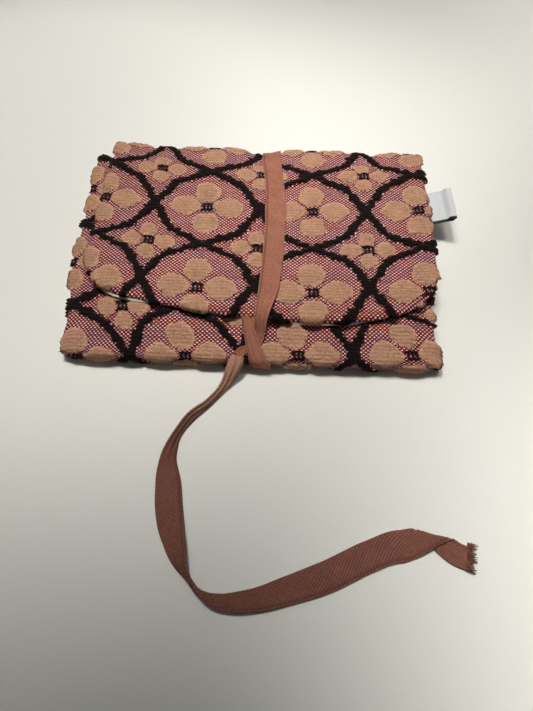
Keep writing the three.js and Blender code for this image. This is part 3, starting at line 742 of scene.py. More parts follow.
def lining_material(colour):
    """Plain woven cloth: threads of one colour, a little uneven."""
    material, tree = start_material("lining_cloth")
    cloth = tree.attribute("cloth", "Vector")
    weave = tree.place_group(weave_group(), {"Cloth": cloth, "Thread": LINING_THREAD, "Turn": 0.0,
                                                  "Ridges": 0.0, "Ridge pitch": 1.0})
    blotch = tree.noise(cloth, 0.07, 3.0)
    shade = tree.scaled(weave["Value"], LINING_CONTRAST, 1 - LINING_CONTRAST)
    shade = tree.times(shade, tree.scaled(weave["Slub"], 0.3, 0.85))
    shade = tree.times(shade, tree.scaled(blotch, 0.3, 0.85))
    painted = tree.tinted((*colour, 1), shade)
    end_material(tree, painted, weave["Height"], 0.85, 0.00012, 0.15, colour)
    return material


def tape_material(settings, name="tape_cloth", painted_end_shading=False):
    """Bias tape: its weave lies aslant, and stitches hold its folded edge. On its free end, painted light
    makes it lighter near the knot and painted shade makes it darker farther along.
    """
    material, tree = start_material(name)
    cloth = tree.attribute("cloth", "Vector")
    weave = tree.place_group(weave_group(), {"Cloth": cloth, "Thread": settings.thread * METRE,
                                                  "Turn": math.radians(38), "Ridges": 0.75,
                                                  "Ridge pitch": settings.twill * METRE})
    across, along, _ = tree.split(cloth)
    blotch = tree.noise(cloth, 0.16, 3.0)
    seam_x = -settings.width * METRE / 2 + settings.seam_inset * METRE
    from_seam = tree.math("ABSOLUTE", tree.math("SUBTRACT", across, seam_x))
    step = tree.math("FRACT", tree.math("DIVIDE", along, settings.stitch_length * METRE))
    thread = tree.times(tree.ramp(from_seam, 0.32, 0.18), tree.ramp(step, 0.72, 0.6))
    # Painted shade in the groove along the seam
    groove_shade = tree.ramp(from_seam, 0.7, 0.1)
    shade = tree.scaled(weave["Value"], 0.75, 0.6)
    shade = tree.times(shade, tree.scaled(weave["Slub"], 1.1, 0.45))
    shade = tree.times(shade, tree.scaled(blotch, 0.5, 0.75))
    shade = tree.times(shade, tree.scaled(groove_shade, -0.35, 1.0))
    base = (*settings.colour, 1)
    # Painted light and painted shade on the free end: lighter near the knot, darker farther along
    if painted_end_shading:
        base = tree.mix(tree.ramp(along, 12, 48), (*settings.tail_lit_colour, 1), (*settings.tail_shade_colour, 1))
    painted = tree.tinted(base, shade)
    painted = tree.mix(tree.times(thread, 0.7), painted, (*settings.seam_colour, 1))
    height = tree.math("ADD", weave["Height"], tree.times(thread, 1.2))
    end_material(tree, painted, height, 0.82, 0.0002, 0.2, settings.colour)
    return material


def felt_material(colour):
    material, tree = start_material("felt")
    cloth = tree.attribute("cloth", "Vector")
    fibre = tree.noise(cloth, 1.9, 5.0, 0.7)
    shade = tree.scaled(fibre, 0.4, 0.8)
    painted = tree.tinted((*colour, 1), shade)
    end_material(tree, painted, fibre, 0.95, 0.0003, 0.3, colour)
    return material


def satin_material(settings):
    """Woven satin: fine ribs across the loop and one dark line along its near edge."""
    material, tree = start_material("satin_label")
    cloth = tree.attribute("cloth", "Vector")
    u, v, _ = tree.split(cloth)
    rib = tree.math("SINE", tree.times(v, 2 * math.pi / (settings.rib * METRE)))
    blotch = tree.noise(tree.vector(tree.times(u, 0.2), v), 1.2, 3.0)
    shade = tree.scaled(rib, 0.04, tree.scaled(blotch, 0.12, 0.92))
    painted = tree.tinted((*settings.colour, 1), shade)
    border = tree.ramp(v, settings.border * METRE + 0.12, settings.border * METRE - 0.12)
    painted = tree.mix(border, painted, (*settings.border_colour, 1))
    height = tree.math("ADD", rib, blotch)
    end_material(tree, painted, height, 0.45, 0.00003, 0.0, settings.colour, 0.35)
    return material


def floor_material(colour):
    material, tree = start_material("pale_floor")
    place = tree.add("ShaderNodeTexCoord", {}, "Object")
    grain = tree.noise(place, 900.0, 3.0)
    shade = tree.scaled(grain, 0.04, 0.98)
    painted = tree.tinted((*colour, 1), shade)
    end_material(tree, painted, grain, 0.6, 0.00003, 0.0, colour, 0.25)
    return material


# Outer cloth

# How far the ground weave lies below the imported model's surface, and how far its edge is drawn in
PILE_SINK = 0.95
EDGE_INSET = 0.7
# How far the pile leans outwards at the rim, as the sine of its lean, and how much longer it is there
RIM_LEAN = 0.96
RIM_LENGTHENING = 0.35


def lay_outer_cloth(piece, outline, rims, pile, rim_reach, rim_drop, thickness):
    """Puts a flat sheet on the fold line, with its pile standing out and its rims rounded."""
    mesh = piece.data
    flat = read_points(mesh)
    x, s = flat[:, 0], flat[:, 1]
    outer = flat[:, 2] > -0.5
    _, rim_distance, way_out = nearest_on(outline, flat[:, :2], rims)
    into_rim = np.clip(1 - rim_distance / rim_reach, 0, 1)
    drop = rim_drop * (1 - np.sqrt(1 - into_rim ** 2))

    masks = trellis(x, s)
    height = pile_height(x, s, masks, pile) * (1 + RIM_LENGTHENING * into_rim)
    y, z = OUTER_LINE.place(s)
    out_y, out_z = OUTER_LINE.outward(s)
    along_y, along_z = OUTER_LINE.tangent(s)
    under = smooth((s - front_distance(NEAR_Y)) / 6) * smooth((SPINE_JOIN - s) / 6)
    lane = smooth((np.abs(x - TAPE_LANE_X) - TAPE_LANE_HALF + 0.7) / 0.7)
    height = height * (1 - under * (1 - lane))
    puff = 0.22 * noise(x, s, 17, 21) * (1 - into_rim) * (1 - under)
    lift = np.where(outer, -PILE_SINK + puff - drop, -PILE_SINK - thickness)
    lift = np.where(~outer, np.minimum(lift, -PILE_SINK - drop - 0.3), lift)
    raised = np.where(outer, height, 0)
    leaning = RIM_LEAN * into_rim
    up = lift + raised * np.sqrt(1 - leaning ** 2)
    aside = raised * leaning
    px = x + way_out[:, 0] * aside
    py = y + out_y * up + along_y * way_out[:, 1] * aside
    pz = z + out_z * up + along_z * way_out[:, 1] * aside
    write_points(mesh, np.stack([px, py, pz], 1), not piece.name.startswith("flap"))
    write_values(mesh, "cloth", np.stack([x, s, np.zeros_like(x)], 1))
    for name, values in zip(("line", "petal", "stitch"), masks):
        write_values(mesh, name, values)


def outline_sides(distances):
    """Right and left edge points of the body's outer cloth at distances along the fold line."""
    y, _ = OUTER_LINE.place(np.array(distances))
    half = half_width(y) - EDGE_INSET
    right = [(float(w), float(s)) for w, s in zip(half, distances)]
    left = [(-w, s) for w, s in reversed(right)]
    return right, left


def mouth_corner(radius, steps=6):
    """A round corner from the mouth's edge to the side: how far inward and how far down."""
    turn = np.radians(np.linspace(0, 90, steps + 1))
    return [(radius * (1 - math.sin(a)), radius * (1 - math.cos(a))) for a in turn]


def edges_but(points, joins):
    """The outline's edges, except those along a join with the next cloth."""
    after = points[1:] + points[:1]
    return [i for i, (here, there) in enumerate(zip(points, after))
            if not (here[1] == there[1] and here[1] in joins)]


def front_outline():
    """The front's outer cloth in cloth coordinates, from its mouth round the near fold."""
    side_at = np.concatenate([np.linspace(MOUTH_CORNER, 104, 40), np.linspace(105, NEAR_JOIN, 50)])
    right, left = outline_sides(side_at)
    half = right[0][0]
    corner = [(half - inward, down) for inward, down in mouth_corner(MOUTH_CORNER)]
    far_left = [(-x, s) for x, s in reversed(corner)]
    points = corner[:-1] + right + left + far_left[1:]
    return points, edges_but(points, [NEAR_JOIN])


def back_outline():
    """The back's outer cloth in cloth coordinates, from the near fold up to the middle of the spine."""
    near = np.linspace(NEAR_JOIN, NEAR_JOIN + 8, 16)
    far = np.linspace(NEAR_JOIN + 9, FLAP_START - 22, 30)
    right, left = outline_sides(np.concatenate([near, far]))
    y_end = OUTER_LINE.distance_to(FOLD_Y, 0)
    spine_right = [(FLAP_RIGHT - 0.5, y_end - 1), (FLAP_RIGHT - 0.6, SPINE_JOIN)]
    spine_left = [(FLAP_LEFT + 0.6, SPINE_JOIN)] + [
        (FLAP_LEFT + aside, y_end + up)
        for aside, up in ((0.6, 1.2), (-0.8, -0.2), (-4.5, -0.8), (-7.0, -2.4), (-7.8, -5))]
    points = right + spine_right + spine_left + left
    return points, edges_but(points, (NEAR_JOIN, SPINE_JOIN))


def bezier(start, pull, end, steps=24):
    t = np.linspace(0, 1, steps + 1)[:, None]
    points = (1 - t) ** 2 * np.array(start) + 2 * t * (1 - t) * np.array(pull) + t ** 2 * np.array(end)
    return [tuple(map(float, p)) for p in points]


# The flap's free edge in plan: its rounded corners and where its tip reaches farthest
FLAP_LEFT_CORNER_Y = -35.5
FLAP_RIGHT_CORNER_Y = -40.5
FLAP_TIP_X = 28
FLAP_CORNER_REACH = 16
FLAP_CORNER_RISE = 21


def flap_edge(inset, tip_inset):
    """The flap's free edge in plan, from its left side to its right."""
    left, right, tip = FLAP_LEFT + inset, FLAP_RIGHT - inset, FLAP_TIP + tip_inset
    left_corner = (left + FLAP_CORNER_REACH, FLAP_LEFT_CORNER_Y + tip_inset)
    right_corner = (right - FLAP_CORNER_REACH, FLAP_RIGHT_CORNER_Y + tip_inset)
    left_start = (left, left_corner[1] + FLAP_CORNER_RISE)
    right_end = (right, right_corner[1] + FLAP_CORNER_RISE)
    return (bezier(left_start, (left + 1, left_corner[1] + FLAP_CORNER_RISE / 4), left_corner)
            + bezier(left_corner, (-FLAP_TIP_X / 2, tip + 0.5), (FLAP_TIP_X, tip))[1:]
            + bezier((FLAP_TIP_X, tip), (right_corner[0] - 12, tip + 0.3), right_corner)[1:]
            + bezier(right_corner, (right - 1.5, right_corner[1] + FLAP_CORNER_RISE / 3), right_end)[1:])


def flap_outline():
    edge = [(x, flap_distance(y)) for x, y in flap_edge(0.6, 0.6)]
    points = [(FLAP_LEFT + 0.6, SPINE_JOIN)] + edge + [(FLAP_RIGHT - 0.6, SPINE_JOIN)]
    return points, list(range(len(points) - 1))


def outer_cloth(name, outline, rims, material, settings, rim_reach, rim_drop):
    """One piece of chenille, with a row of cells on each side of every rib."""
    xs = [x for x, _ in outline]
    ss = [s for _, s in outline]
    first, last = math.ceil(min(ss) / CELL_ALONG + 0.3), math.floor(max(ss) / CELL_ALONG - 0.3)
    along = np.array([min(ss), *(np.arange(first, last + 1) * CELL_ALONG), max(ss)])
    bm = cut_sheet(outline, spaced(min(xs), max(xs), CELL_ACROSS), along)
    piece = new_object(name, bm, material)
    lay_outer_cloth(piece, outline, rims, settings.pile * METRE, rim_reach, rim_drop, settings.ground * METRE)
    return piece


def make_outer_cloth(settings):
    """The chenille's three pieces, each bent across the joint with its neighbour."""
    material = chenille_material(settings)
    points, rims = front_outline()
    front = outer_cloth("front_cloth", points, rims, material, settings, 1.7, 0.9)
    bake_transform(front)
    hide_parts("front_outer", "near_fold_outer")
    points, rims = back_outline()
    back = outer_cloth("back_cloth", points, rims, material, settings, 1.7, 0.5)
    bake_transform(back)
    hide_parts("back_outer", "spine_lower_fold")
    points, rims = flap_outline()
    flap = outer_cloth("flap_cloth", points, rims, material, settings, 2.6, 1.35)
    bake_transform(flap)
    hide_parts("spine_outer", "spine_upper_fold", "flap_outer")


# Lining, interlining and dividers

def body_outline(inset, near_y, far_y):
    """Plan of a flat ply of the body, its sides drawn in by an inset."""
    right = [(float(half_width(y)) - inset, float(y)) for y in np.linspace(near_y, far_y, 40)]
    return right + [(-x, y) for x, y in reversed(right)]


def flat_ply(name, node, outline, material, cell=1.6, ripple=0.07, seed=31):
    """A flat cloth in place of a node, a little rippled, its edge turned like a hem."""
    xs, ys = [p[0] for p in outline], [p[1] for p in outline]
    bm = cut_sheet(outline, spaced(min(xs), max(xs), cell), spaced(min(ys), max(ys), cell))
    piece = new_object(name, bm, material)
    flat = read_points(piece.data)
    _, rim_distance, _ = nearest_on(outline, flat[:, :2])
    x, y, upper = flat[:, 0], flat[:, 1], flat[:, 2] > -0.5
    bottom, top = low(node)[2], high(node)[2]
    into_rim = np.clip(1 - rim_distance / 1.2, 0, 1)
    rounding = (top - bottom) * 0.3 * into_rim ** 2
    wave = ripple * noise(x, y, 14, seed) + 0.4 * ripple * noise(x, y, 5, seed + 1)
    z = np.where(upper, top - rounding, bottom + rounding) + wave
    write_points(piece.data, np.stack([x, y, z], 1), not name.startswith("flap"))
    write_values(piece.data, "cloth", np.stack([x, y, np.zeros_like(x)], 1))
    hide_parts(node)
    return piece


def edge_prominence(x):
    """How far the flap's lining shows past its cloth, along the tip."""
    left = 1.5 * smooth((x + 68) / 5) * smooth((-36 - x) / 14)
    middle = 0.9 * smooth((x - 14) / 6) * smooth((52 - x) / 10)
    return left + middle - 0.35


# How far the flat linings and the dividers stay inside the cloth's sides, where the pleats are
BELLOWS_INSET = 9.5
TAB_INSET = 2.4


def make_lining(settings):
    """Linings of the back, the front, the flap, the spine and the near fold, dividers and pleats."""
    material = lining_material(settings.lining)
    tab_y = high("gusset_left_1")[1] + 0.4
    body = body_outline(BELLOWS_INSET, low("back_lining")[1], tab_y)
    tab = body_outline(TAB_INSET, tab_y, high("back_lining")[1])
    half = len(body) // 2
    outline = body[:half] + tab + body[half:]
    ply = flat_ply("back_lining_cloth", "back_lining", outline, material)
    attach(ply, "back")

    outline = body_outline(BELLOWS_INSET, low("front_lining")[1], high("front_lining")[1])
    ply = flat_ply("front_lining_cloth", "front_lining", outline, material, seed=41)
    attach(ply, "front")

    edge = [(x, y - edge_prominence(x)) for x, y in flap_edge(0.9, 0.6)]
    far_y = high("flap_lining")[1] + 0.8
    outline = [(low("flap_lining")[0], far_y)] + edge + [(high("flap_lining")[0], far_y)]
    ply = flat_ply("flap_lining_cloth", "flap_lining", outline, material, 1.2, 0.05, 51)
    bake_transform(ply)

    for seed, name in ((61, "divider_1"), (62, "divider_2")):
        outline = body_outline(BELLOWS_INSET, low(name)[1], high(name)[1])
        ply = flat_ply(f"{name}_cloth", name, outline, material, ripple=0.05, seed=seed)
        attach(ply, name)
    make_spine_lining(material)
    make_near_fold_lining(material)
    make_pleats(material)


def make_spine_lining(material):
    """The upright lining of the spine, cut in width and height."""
    node_low, node_high = low("spine_lining"), high("spine_lining")
    outline = [(node_low[0], node_low[2]), (node_high[0], node_low[2]),
               (node_high[0], node_high[2]), (node_low[0], node_high[2])]
    bm = cut_sheet(outline, spaced(node_low[0], node_high[0], 1.5), spaced(node_low[2], node_high[2], 0.8))
    piece = new_object("spine_lining_cloth", bm, material)
    flat = read_points(piece.data)
    x, z, upper = flat[:, 0], flat[:, 1], flat[:, 2] > -0.5
    wave = 0.06 * noise(x, z, 9, 71)
    y = np.where(upper, node_low[1], node_high[1]) + wave
    write_points(piece.data, np.stack([x, y, z], 1))
    write_values(piece.data, "cloth", np.stack([x, z, np.zeros_like(x)], 1))
    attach(piece, "spine")
    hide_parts("spine_lining")


def closed_section(centre_line, thickness, rounding=4):
    """A closed ring round an open line of points: out along one side, round its end and back."""
    line = np.array(centre_line, float)
    way = np.gradient(line, axis=0)
    way /= np.linalg.norm(way, axis=1)[:, None]
    side = np.stack([-way[:, 1], way[:, 0]], 1) * thickness / 2
    lengths = np.concatenate([[0], np.cumsum(np.linalg.norm(np.diff(line, axis=0), axis=1))])
    ring, place = [], []

    def turn(centre, from_side, forward, at):
        for angle in np.radians(np.linspace(0, 180, rounding + 1))[1:-1]:
            ring.append(centre + from_side * math.cos(angle) + forward * math.sin(angle) * thickness / 2)
            place.append(at)

    ring.extend(line + side)
    place.extend(lengths)
    turn(line[-1], side[-1], way[-1], lengths[-1])
    ring.extend((line - side)[::-1])
    place.extend(lengths[::-1])
    turn(line[0], -side[0], -way[0], lengths[0])
    return np.array(ring), np.array(place)


def swept_cloth(name, section_at, stations, material, axis, start=0):
    """A closed cloth whose section, a ring in two axes, changes along the third."""
    rings, across = [], []
    for station in stations:
        ring, place = section_at(station)
        rings.append(np.insert(ring, axis, station, axis=1))
        across.append(place)
    return new_object(name, skin(np.array(rings), np.array(across), stations - start), material)


def make_near_fold_lining(material):
    """Lining bent round the near fold, from the back to the front."""
    node_low, node_high = low("near_fold_lining"), high("near_fold_lining")
    radius, centre_y = 1.55, node_low[1] + 1.8
    line = densely([
        (node_high[1], node_high[2] - 0.25),
        *arc(centre_y, node_high[2] - 0.25 - radius, radius, 90, 180),
        *arc(centre_y, node_low[2] + 0.25 + radius, radius, 180, 270),
        (node_high[1], node_low[2] + 0.25),
    ], 0.5)
    section = closed_section(line, 0.5)
    half = min(node_high[0], half_width(node_low[1]) - 0.8)
    piece = swept_cloth("near_fold_lining_cloth", lambda x: section, spaced(-half, half, 1.5),
                        material, 0)
    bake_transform(piece)
    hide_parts("near_fold_lining")


PLEAT_INSET = 1.4
PLEAT_DEPTH = 7.8
PLEAT_CLOTH = 0.32


def pleat_section(y, side, index, bottom, top):
    """A hairpin of lining that reaches out to the body's side and back in."""
    waver = 0.25 * float(noise(np.array(y), np.array(index * 9.0), 12, 81))
    peak = float(half_width(y)) - PLEAT_INSET + waver
    valley = peak - PLEAT_DEPTH
    middle, reach = (bottom + top) / 2, (top - bottom) / 2
    turn = np.radians(np.linspace(-90, 90, 9))
    nose = [(peak - reach + reach * math.cos(a), middle + reach * math.sin(a)) for a in turn]
    flat = [valley + (peak - reach - valley) * i / 6 for i in range(6)]
    line = [(x, bottom) for x in flat] + nose + [(x, top) for x in reversed(flat)]
    return closed_section([(side * x, z) for x, z in line], PLEAT_CLOTH)


def make_pleats(material):
    """Each pocket's side is a hairpin of lining with its fold outwards."""
    for side_name, side in (("left", -1), ("right", 1)):
        for index in (1, 2, 3):
            node = f"gusset_{side_name}_{index}"
            node_low, node_high = low(node), high(node)
            bottom, top = node_low[2] + 0.2, node_high[2] - 0.2
            stations = spaced(node_low[1], node_high[1], 1.5)
            piece = swept_cloth(f"pleat_{side_name}_{index}",
                                lambda y: pleat_section(y, side, index, bottom, top),
                                stations, material, 1)
            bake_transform(piece)
            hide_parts(node)


def make_interlining(settings):
    """Felt between the outer cloth and the lining of the back, the front and the flap."""
    material = felt_material(settings.interlining)
    for node, body, seed in (("back_interlining", "back", 91), ("front_interlining", "front", 93)):
        outline = body_outline(3, low(node)[1], high(node)[1])
        if body == "front":
            outline = [(min(x, low("side_label")[0] - 0.4), y) for x, y in outline]
        ply = flat_ply(f"{body}_felt", node, outline, material, 2, 0.06, seed)
        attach(ply, body)
    node = "flap_interlining"
    outline = [(low(node)[0], high(node)[1])] + flap_edge(3, 9) + [(high(node)[0], high(node)[1])]
    ply = flat_ply("flap_felt", node, outline, material, 2, 0.05, 95)
    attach(ply, "flap")


# Tape

# Heights of the middle of the tape's thickness
ON_TABLE = 0.45
ON_FRONT = 11.7
ON_FLAP = 15.6


def quarter_turn(centre_y, centre_z, radius, from_degrees, from_share, to_share):
    """Rows of the tape round a fold: place, share of its full width, and tilt."""
    rows = []
    for i in range(5):
        angle = math.radians(from_degrees + 90 * i / 4)
        y, z = centre_y + radius * math.cos(angle), centre_z + radius * math.sin(angle)
        rows.append((TAPE_LANE_X, y, z, from_share + (to_share - from_share) * i / 4, 0))
    return rows


def tape_rows():
    """The tape's runs: x, y, z, share of its width, and its tilt about its own line in degrees."""
    near_turn, far_turn = NEAR_RADIUS + 0.7, FOLD_RADIUS + 0.7
    lane = TAPE_LANE_X
    tip_run = [
        (0.2, -40.8, 12.6, 0.56, 0), (0.6, -46.3, 12.6, 0.52, 0), (1.6, -51.55, 12.9, 0.54, 0),
        (3.2, -57.05, 12.9, 0.6, 0), (4.6, -60.4, 12.2, 0.68, 0), (5.4, -62.6, 10.2, 0.76, 0),
        (lane, -63.2, 7.2, 0.82, 0), (lane, -63.2, 5.2, 0.86, 0),
    ]
    under_run = [
        *quarter_turn(NEAR_CENTRE_Y, ON_TABLE + near_turn, near_turn, 180, 0.86, 1),
        (lane, -55.8, ON_TABLE, 1, 0), (lane, 0, ON_TABLE, 1, 0), (lane, 59, ON_TABLE, 1, 0),
    ]
    middle = (lane, FOLD_Y + far_turn, (ON_TABLE + FLAP_TOP - FOLD_RADIUS + far_turn) / 2, 0.94, 0)
    lower_turn = [(lane, 58.8, ON_TABLE, 1, 0),
                  *quarter_turn(FOLD_Y, ON_TABLE + far_turn, far_turn, -90, 1, 0.95), middle]
    upper_turn = [middle, *quarter_turn(FOLD_Y, FLAP_TOP - FOLD_RADIUS, far_turn, 0, 0.92, 0.9),
                  (lane, 58.8, ON_FLAP, 0.9, 0)]
    top_run = [
        (lane, 59, ON_FLAP, 0.9, 0), (lane, 55, ON_FLAP, 0.9, 0), (9.4, 22, ON_FLAP, 0.94, 0),
        (9.7, -10, ON_FLAP, 0.93, 0), (8.9, -24, ON_FLAP, 0.89, 0), (8.2, -32.6, ON_FLAP, 0.84, 0),
        (7.2, -38, ON_FLAP, 0.74, 0), (6.5, -42.5, ON_FLAP, 0.64, 0), (5.9, -46.8, 15.3, 0.53, 0),
        (5.7, -49, 14.1, 0.48, 0), (5.5, -51.45, 12.3, 0.43, 0), (5.1, -54, ON_FRONT, 0.37, 0),
        (4, -56.2, ON_FRONT, 0.33, 0), (1.2, -57.5, ON_FRONT, 0.34, 0), (-1.6, -58.8, ON_FRONT, 0.4, 0),
        (-2.9, -60.65, ON_FRONT, 0.46, 0),
    ]
    return {"strap_tip_run": tip_run, "strap_under_run": under_run,
            "strap_far_turn_below": lower_turn, "strap_far_turn_above": upper_turn, "strap_top_run": top_run}


# The free end: x, y, z, share of its width, and tilt in degrees. On the table, z follows from the tilt.
TAIL_ROWS = [
    (-2.9, -60.9, 11.7, 0.5, 0), (-3.7, -63.9, 10.8, 0.6, -22), (-5.0, -67, 8, 0.62, -42),
    (-6.8, -70.4, 4.6, 0.56, -58), (-9.4, -74, 2.8, 0.5, -70), (-14.0, -79.4, 0.6, 0.52, -75),
    (-20.2, -86.3, 0.6, 0.64, -70), (-24.6, -94, 0.6, 0.62, -70), (-26.4, -103.5, 0.6, 0.78, -45),
    (-25.4, -113, 0.6, 0.98, -10), (-23.5, -124, 0.6, 1, 0), (-20, -134.8, 0.6, 0.85, 30),
    (-15.8, -143.4, 0.6, 0.68, 65), (-10.2, -149.4, 0.6, 0.5, 105), (-2.6, -152.2, 0.6, 0.62, 145),
    (7.6, -151.4, 0.6, 0.78, 165), (19.4, -147.8, 0.6, 0.92, 175), (34.2, -142.2, 0.6, 1, 180),
    (47, -135.8, 0.6, 1.02, 180), (58.5, -131.6, 0.6, 1.12, 180), (70.5, -133, 0.6, 1.02, 180),
    (82.4, -134.4, 0.6, 0.8, 180),
]
# The free end rolls over near its cut: where across the table, how far to each side, and how tightly
ROLL_X = 70.3
ROLL_REACH = 11.5
ROLL_RADIUS = 0.6


def smooth_rows(rows, step=0.5):
    """Rows close together on one smooth curve through the given rows."""
    rows = np.array(rows, float)
    gaps = np.linalg.norm(np.diff(rows[:, :3], axis=0), axis=1)
    rows = rows[np.concatenate([[True], gaps > 1e-6])]
    chords = np.sqrt(np.linalg.norm(np.diff(rows[:, :3], axis=0), axis=1))
    knots = np.concatenate([[0], np.cumsum(chords)])
    slopes = np.gradient(rows, knots, axis=0)
    result = []
    for i in range(len(rows) - 1):
        width = knots[i + 1] - knots[i]
        count = max(2, int(np.linalg.norm(rows[i + 1, :3] - rows[i, :3]) / step))
        t = np.linspace(0, 1, count, endpoint=False)[:, None]
        result.append((2 * t ** 3 - 3 * t ** 2 + 1) * rows[i] + (t ** 3 - 2 * t ** 2 + t) * width * slopes[i]
                      + (3 * t ** 2 - 2 * t ** 3) * rows[i + 1] + (t ** 3 - t ** 2) * width * slopes[i + 1])
    return np.concatenate(result + [rows[-1:]])


def tape_section(width, thickness, seam_inset, columns=13):
    """A ring of points round a folded tape: across and up, with its stitched edge on the left."""
    half, edge = width / 2, thickness / 2
    across = np.concatenate([[-half + edge * 0.5, -half + seam_inset - 0.3, -half + seam_inset],
                             np.linspace(-half + seam_inset + 0.4, half - edge * 0.5, columns - 3)])
    upper = np.full(len(across), edge)
    upper[1:3] -= 0.12
    turn = np.radians([60, 25, -25, -60])
    right = np.stack([half - edge * 0.5 + edge * 0.5 * np.cos(turn), edge * np.sin(turn)], 1)
    left = np.stack([-half + edge * 0.5 - edge * 0.5 * np.cos(turn), -edge * np.sin(turn)], 1)
    top = np.stack([across, upper], 1)
    bottom = np.stack([across[::-1], -np.full(len(across), edge)], 1)
    return np.concatenate([top, right, bottom, left])


def rolled_over(across, lift, half, fold_at):
    """A flat section rolled over at a line along the tape, so that one part lies on the other."""
    beyond = across - fold_at
    angle = np.clip(beyond / ROLL_RADIUS, -np.pi / 2, np.pi / 2)
    straight = np.maximum(np.abs(beyond) - np.pi / 2 * ROLL_RADIUS, 0)
    doubled = smooth((half - fold_at) / 2)
    new_across = half + (ROLL_RADIUS + lift) * np.cos(angle) - straight
    return new_across, ROLL_RADIUS * (1 - np.sin(angle)) * doubled - lift * np.sin(angle)


# The free end lies on the table from this depth towards the viewer
TABLE_FROM_Y = -72
# How high the folds stand where the tape is gathered, and their wave in radians per millimetre
GATHER_HEIGHT = 1.1
GATHER_WAVE = 1.5


def ribbon(name, rows, settings, material, seed):
    """A folded tape along its rows; where it narrows, it gathers into lengthwise folds."""
    free_end = name == "strap_tail"
    width, thickness = settings.width * METRE, settings.thickness * METRE
    rows = smooth_rows(rows)
    section = tape_section(width, thickness, settings.seam_inset * METRE)
    from_middle = section[:, 0][None, :]
    centres, share, tilt = rows[:, :3].copy(), rows[:, 3], np.radians(rows[:, 4])
    lengths = np.concatenate([[0], np.cumsum(np.linalg.norm(np.diff(centres, axis=0), axis=1))])
    along = np.gradient(centres, axis=0)
    along /= np.linalg.norm(along, axis=1)[:, None]
    if free_end:
        level = np.stack([along[:, 1], -along[:, 0], np.zeros(len(along))], 1)
        on_table = smooth((TABLE_FROM_Y - centres[:, 1]) / 4)
        rise = np.abs(np.sin(tilt)) * share * width / 2 + np.abs(np.cos(tilt)) * thickness / 2 + 0.1
        centres[:, 2] = centres[:, 2] * (1 - on_table) + rise * on_table
    else:
        level = np.array([1.0, 0, 0]) - along * along[:, :1]
    level /= np.linalg.norm(level, axis=1)[:, None]
    up = np.cross(along, level)
    side = level * np.cos(tilt)[:, None] + up * np.sin(tilt)[:, None]
    face = -level * np.sin(tilt)[:, None] + up * np.cos(tilt)[:, None]
    across = from_middle * share[:, None]
    gather = np.clip(1 - share, 0, 0.6)[:, None]
    fold = gather * GATHER_HEIGHT * np.sin(from_middle * GATHER_WAVE + seed)
    fold = fold * (1 - (from_middle / width * 2) ** 4)
    run = lengths[:, None] + 0 * across
    uneven = noise(run, 0 * run + seed * 9 + np.sign(across) * 4, 9.0, seed + 3)
    across = across * (1 + settings.waviness * uneven)
    crumple = 0.12 * noise(run, across + seed * 20, 4.0, seed) + settings.crumple * METRE * noise(
        run + across * 0.9, across * 0.4 + seed * 11, 7.0, seed + 5)
    lift = section[:, 1][None, :] + fold + crumple
    if free_end:
        half = (share * width / 2)[:, None]
        rolled = smooth((centres[:, :1] - ROLL_X) / ROLL_REACH / 2 + 0.5) * 2 - 1
        across, lift = rolled_over(across, lift, half, -rolled * (half + np.pi / 2 * ROLL_RADIUS))
    rings = centres[:, None, :] + side[:, None, :] * across[..., None] + face[:, None, :] * lift[..., None]
    bm = skin(rings, np.repeat(from_middle, len(rows), 0), lengths, False)
    piece = new_object(name.replace("strap", "tape"), bm, material)
    return piece, settled(rings, False).mean(1), lengths[-1]


def make_tape(settings):
    """The tape wound round the closed pouch, one piece for each run."""
    material = tape_material(settings)
    for seed, (node, rows) in enumerate(tape_rows().items()):
        piece, _, _ = ribbon(node, rows, settings, material, seed + 2)
        if node == "strap_far_turn_below":
            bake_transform(piece)
        elif node == "strap_far_turn_above":
            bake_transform(piece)
        else:
            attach(piece, {"strap_under_run": "back"}.get(node, "flap"))
        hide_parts(node.removesuffix("_below").removesuffix("_above"))


def make_tail(settings):
    """The free end from the knot to its frayed cut."""
    # The free end's colour is painted lighter near the knot and darker farther along, as painted light and
    # painted shade
    material = tape_material(settings, "tape_end_cloth", painted_end_shading=True)
    piece, centres, length = ribbon("strap_tail", TAIL_ROWS, settings, material, 9)
    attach(piece, "back")
    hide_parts("strap_tail")
    fray = make_fray(centres, length, settings, material)
    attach(fray, "back")


# Loose threads: how many, their shortest length and what is added to it at random
FRAY_THREADS = 120
FRAY_LENGTH = 1.3
FRAY_LENGTHENING = 2.6


def make_fray(centres, length, settings, material):
    """Loose threads at the tape's cut end."""
    end, way = centres[-1], centres[-1] - centres[-6]
    way /= np.linalg.norm(way)
    side = np.array([-way[1], way[0], 0])
    bm = bmesh.new()
    cloth = bm.verts.layers.float_vector.new("cloth")
    for i in range(FRAY_THREADS):
        offset = (i / (FRAY_THREADS - 1) - 0.5) * settings.width * METRE * 0.96
        wild, bend, rise = (float(hashed(i, k, 7)) for k in (1, 2, 3))
        reach = FRAY_LENGTH + FRAY_LENGTHENING * wild ** 2
        base = end + side * offset - way * 0.8 + np.array([0, 0, (rise - 0.5) * 0.5])
        made = bmesh.ops.create_cone(bm, cap_ends=True, segments=5, radius1=0.2, radius2=0.11, depth=1.0)
        for vert in made["verts"]:
            t = vert.co.z + 0.5
            lean = side * (bend - 0.5) * 2.8 * t ** 2 + np.array([0, 0, (rise - 0.25) * 2.2 * t])
            point = base + way * reach * t + lean + side * vert.co.x + np.array([0, 0, vert.co.y])
            vert.co = (point[0] / METRE, point[1] / METRE, max(point[2], 0.1) / METRE)
            vert[cloth] = (offset, length + t * reach, 0)
    return new_object("tape_fray", bm, material)


# Label

LABEL_CLOTH = 0.25
LABEL_OPENING = 0.55


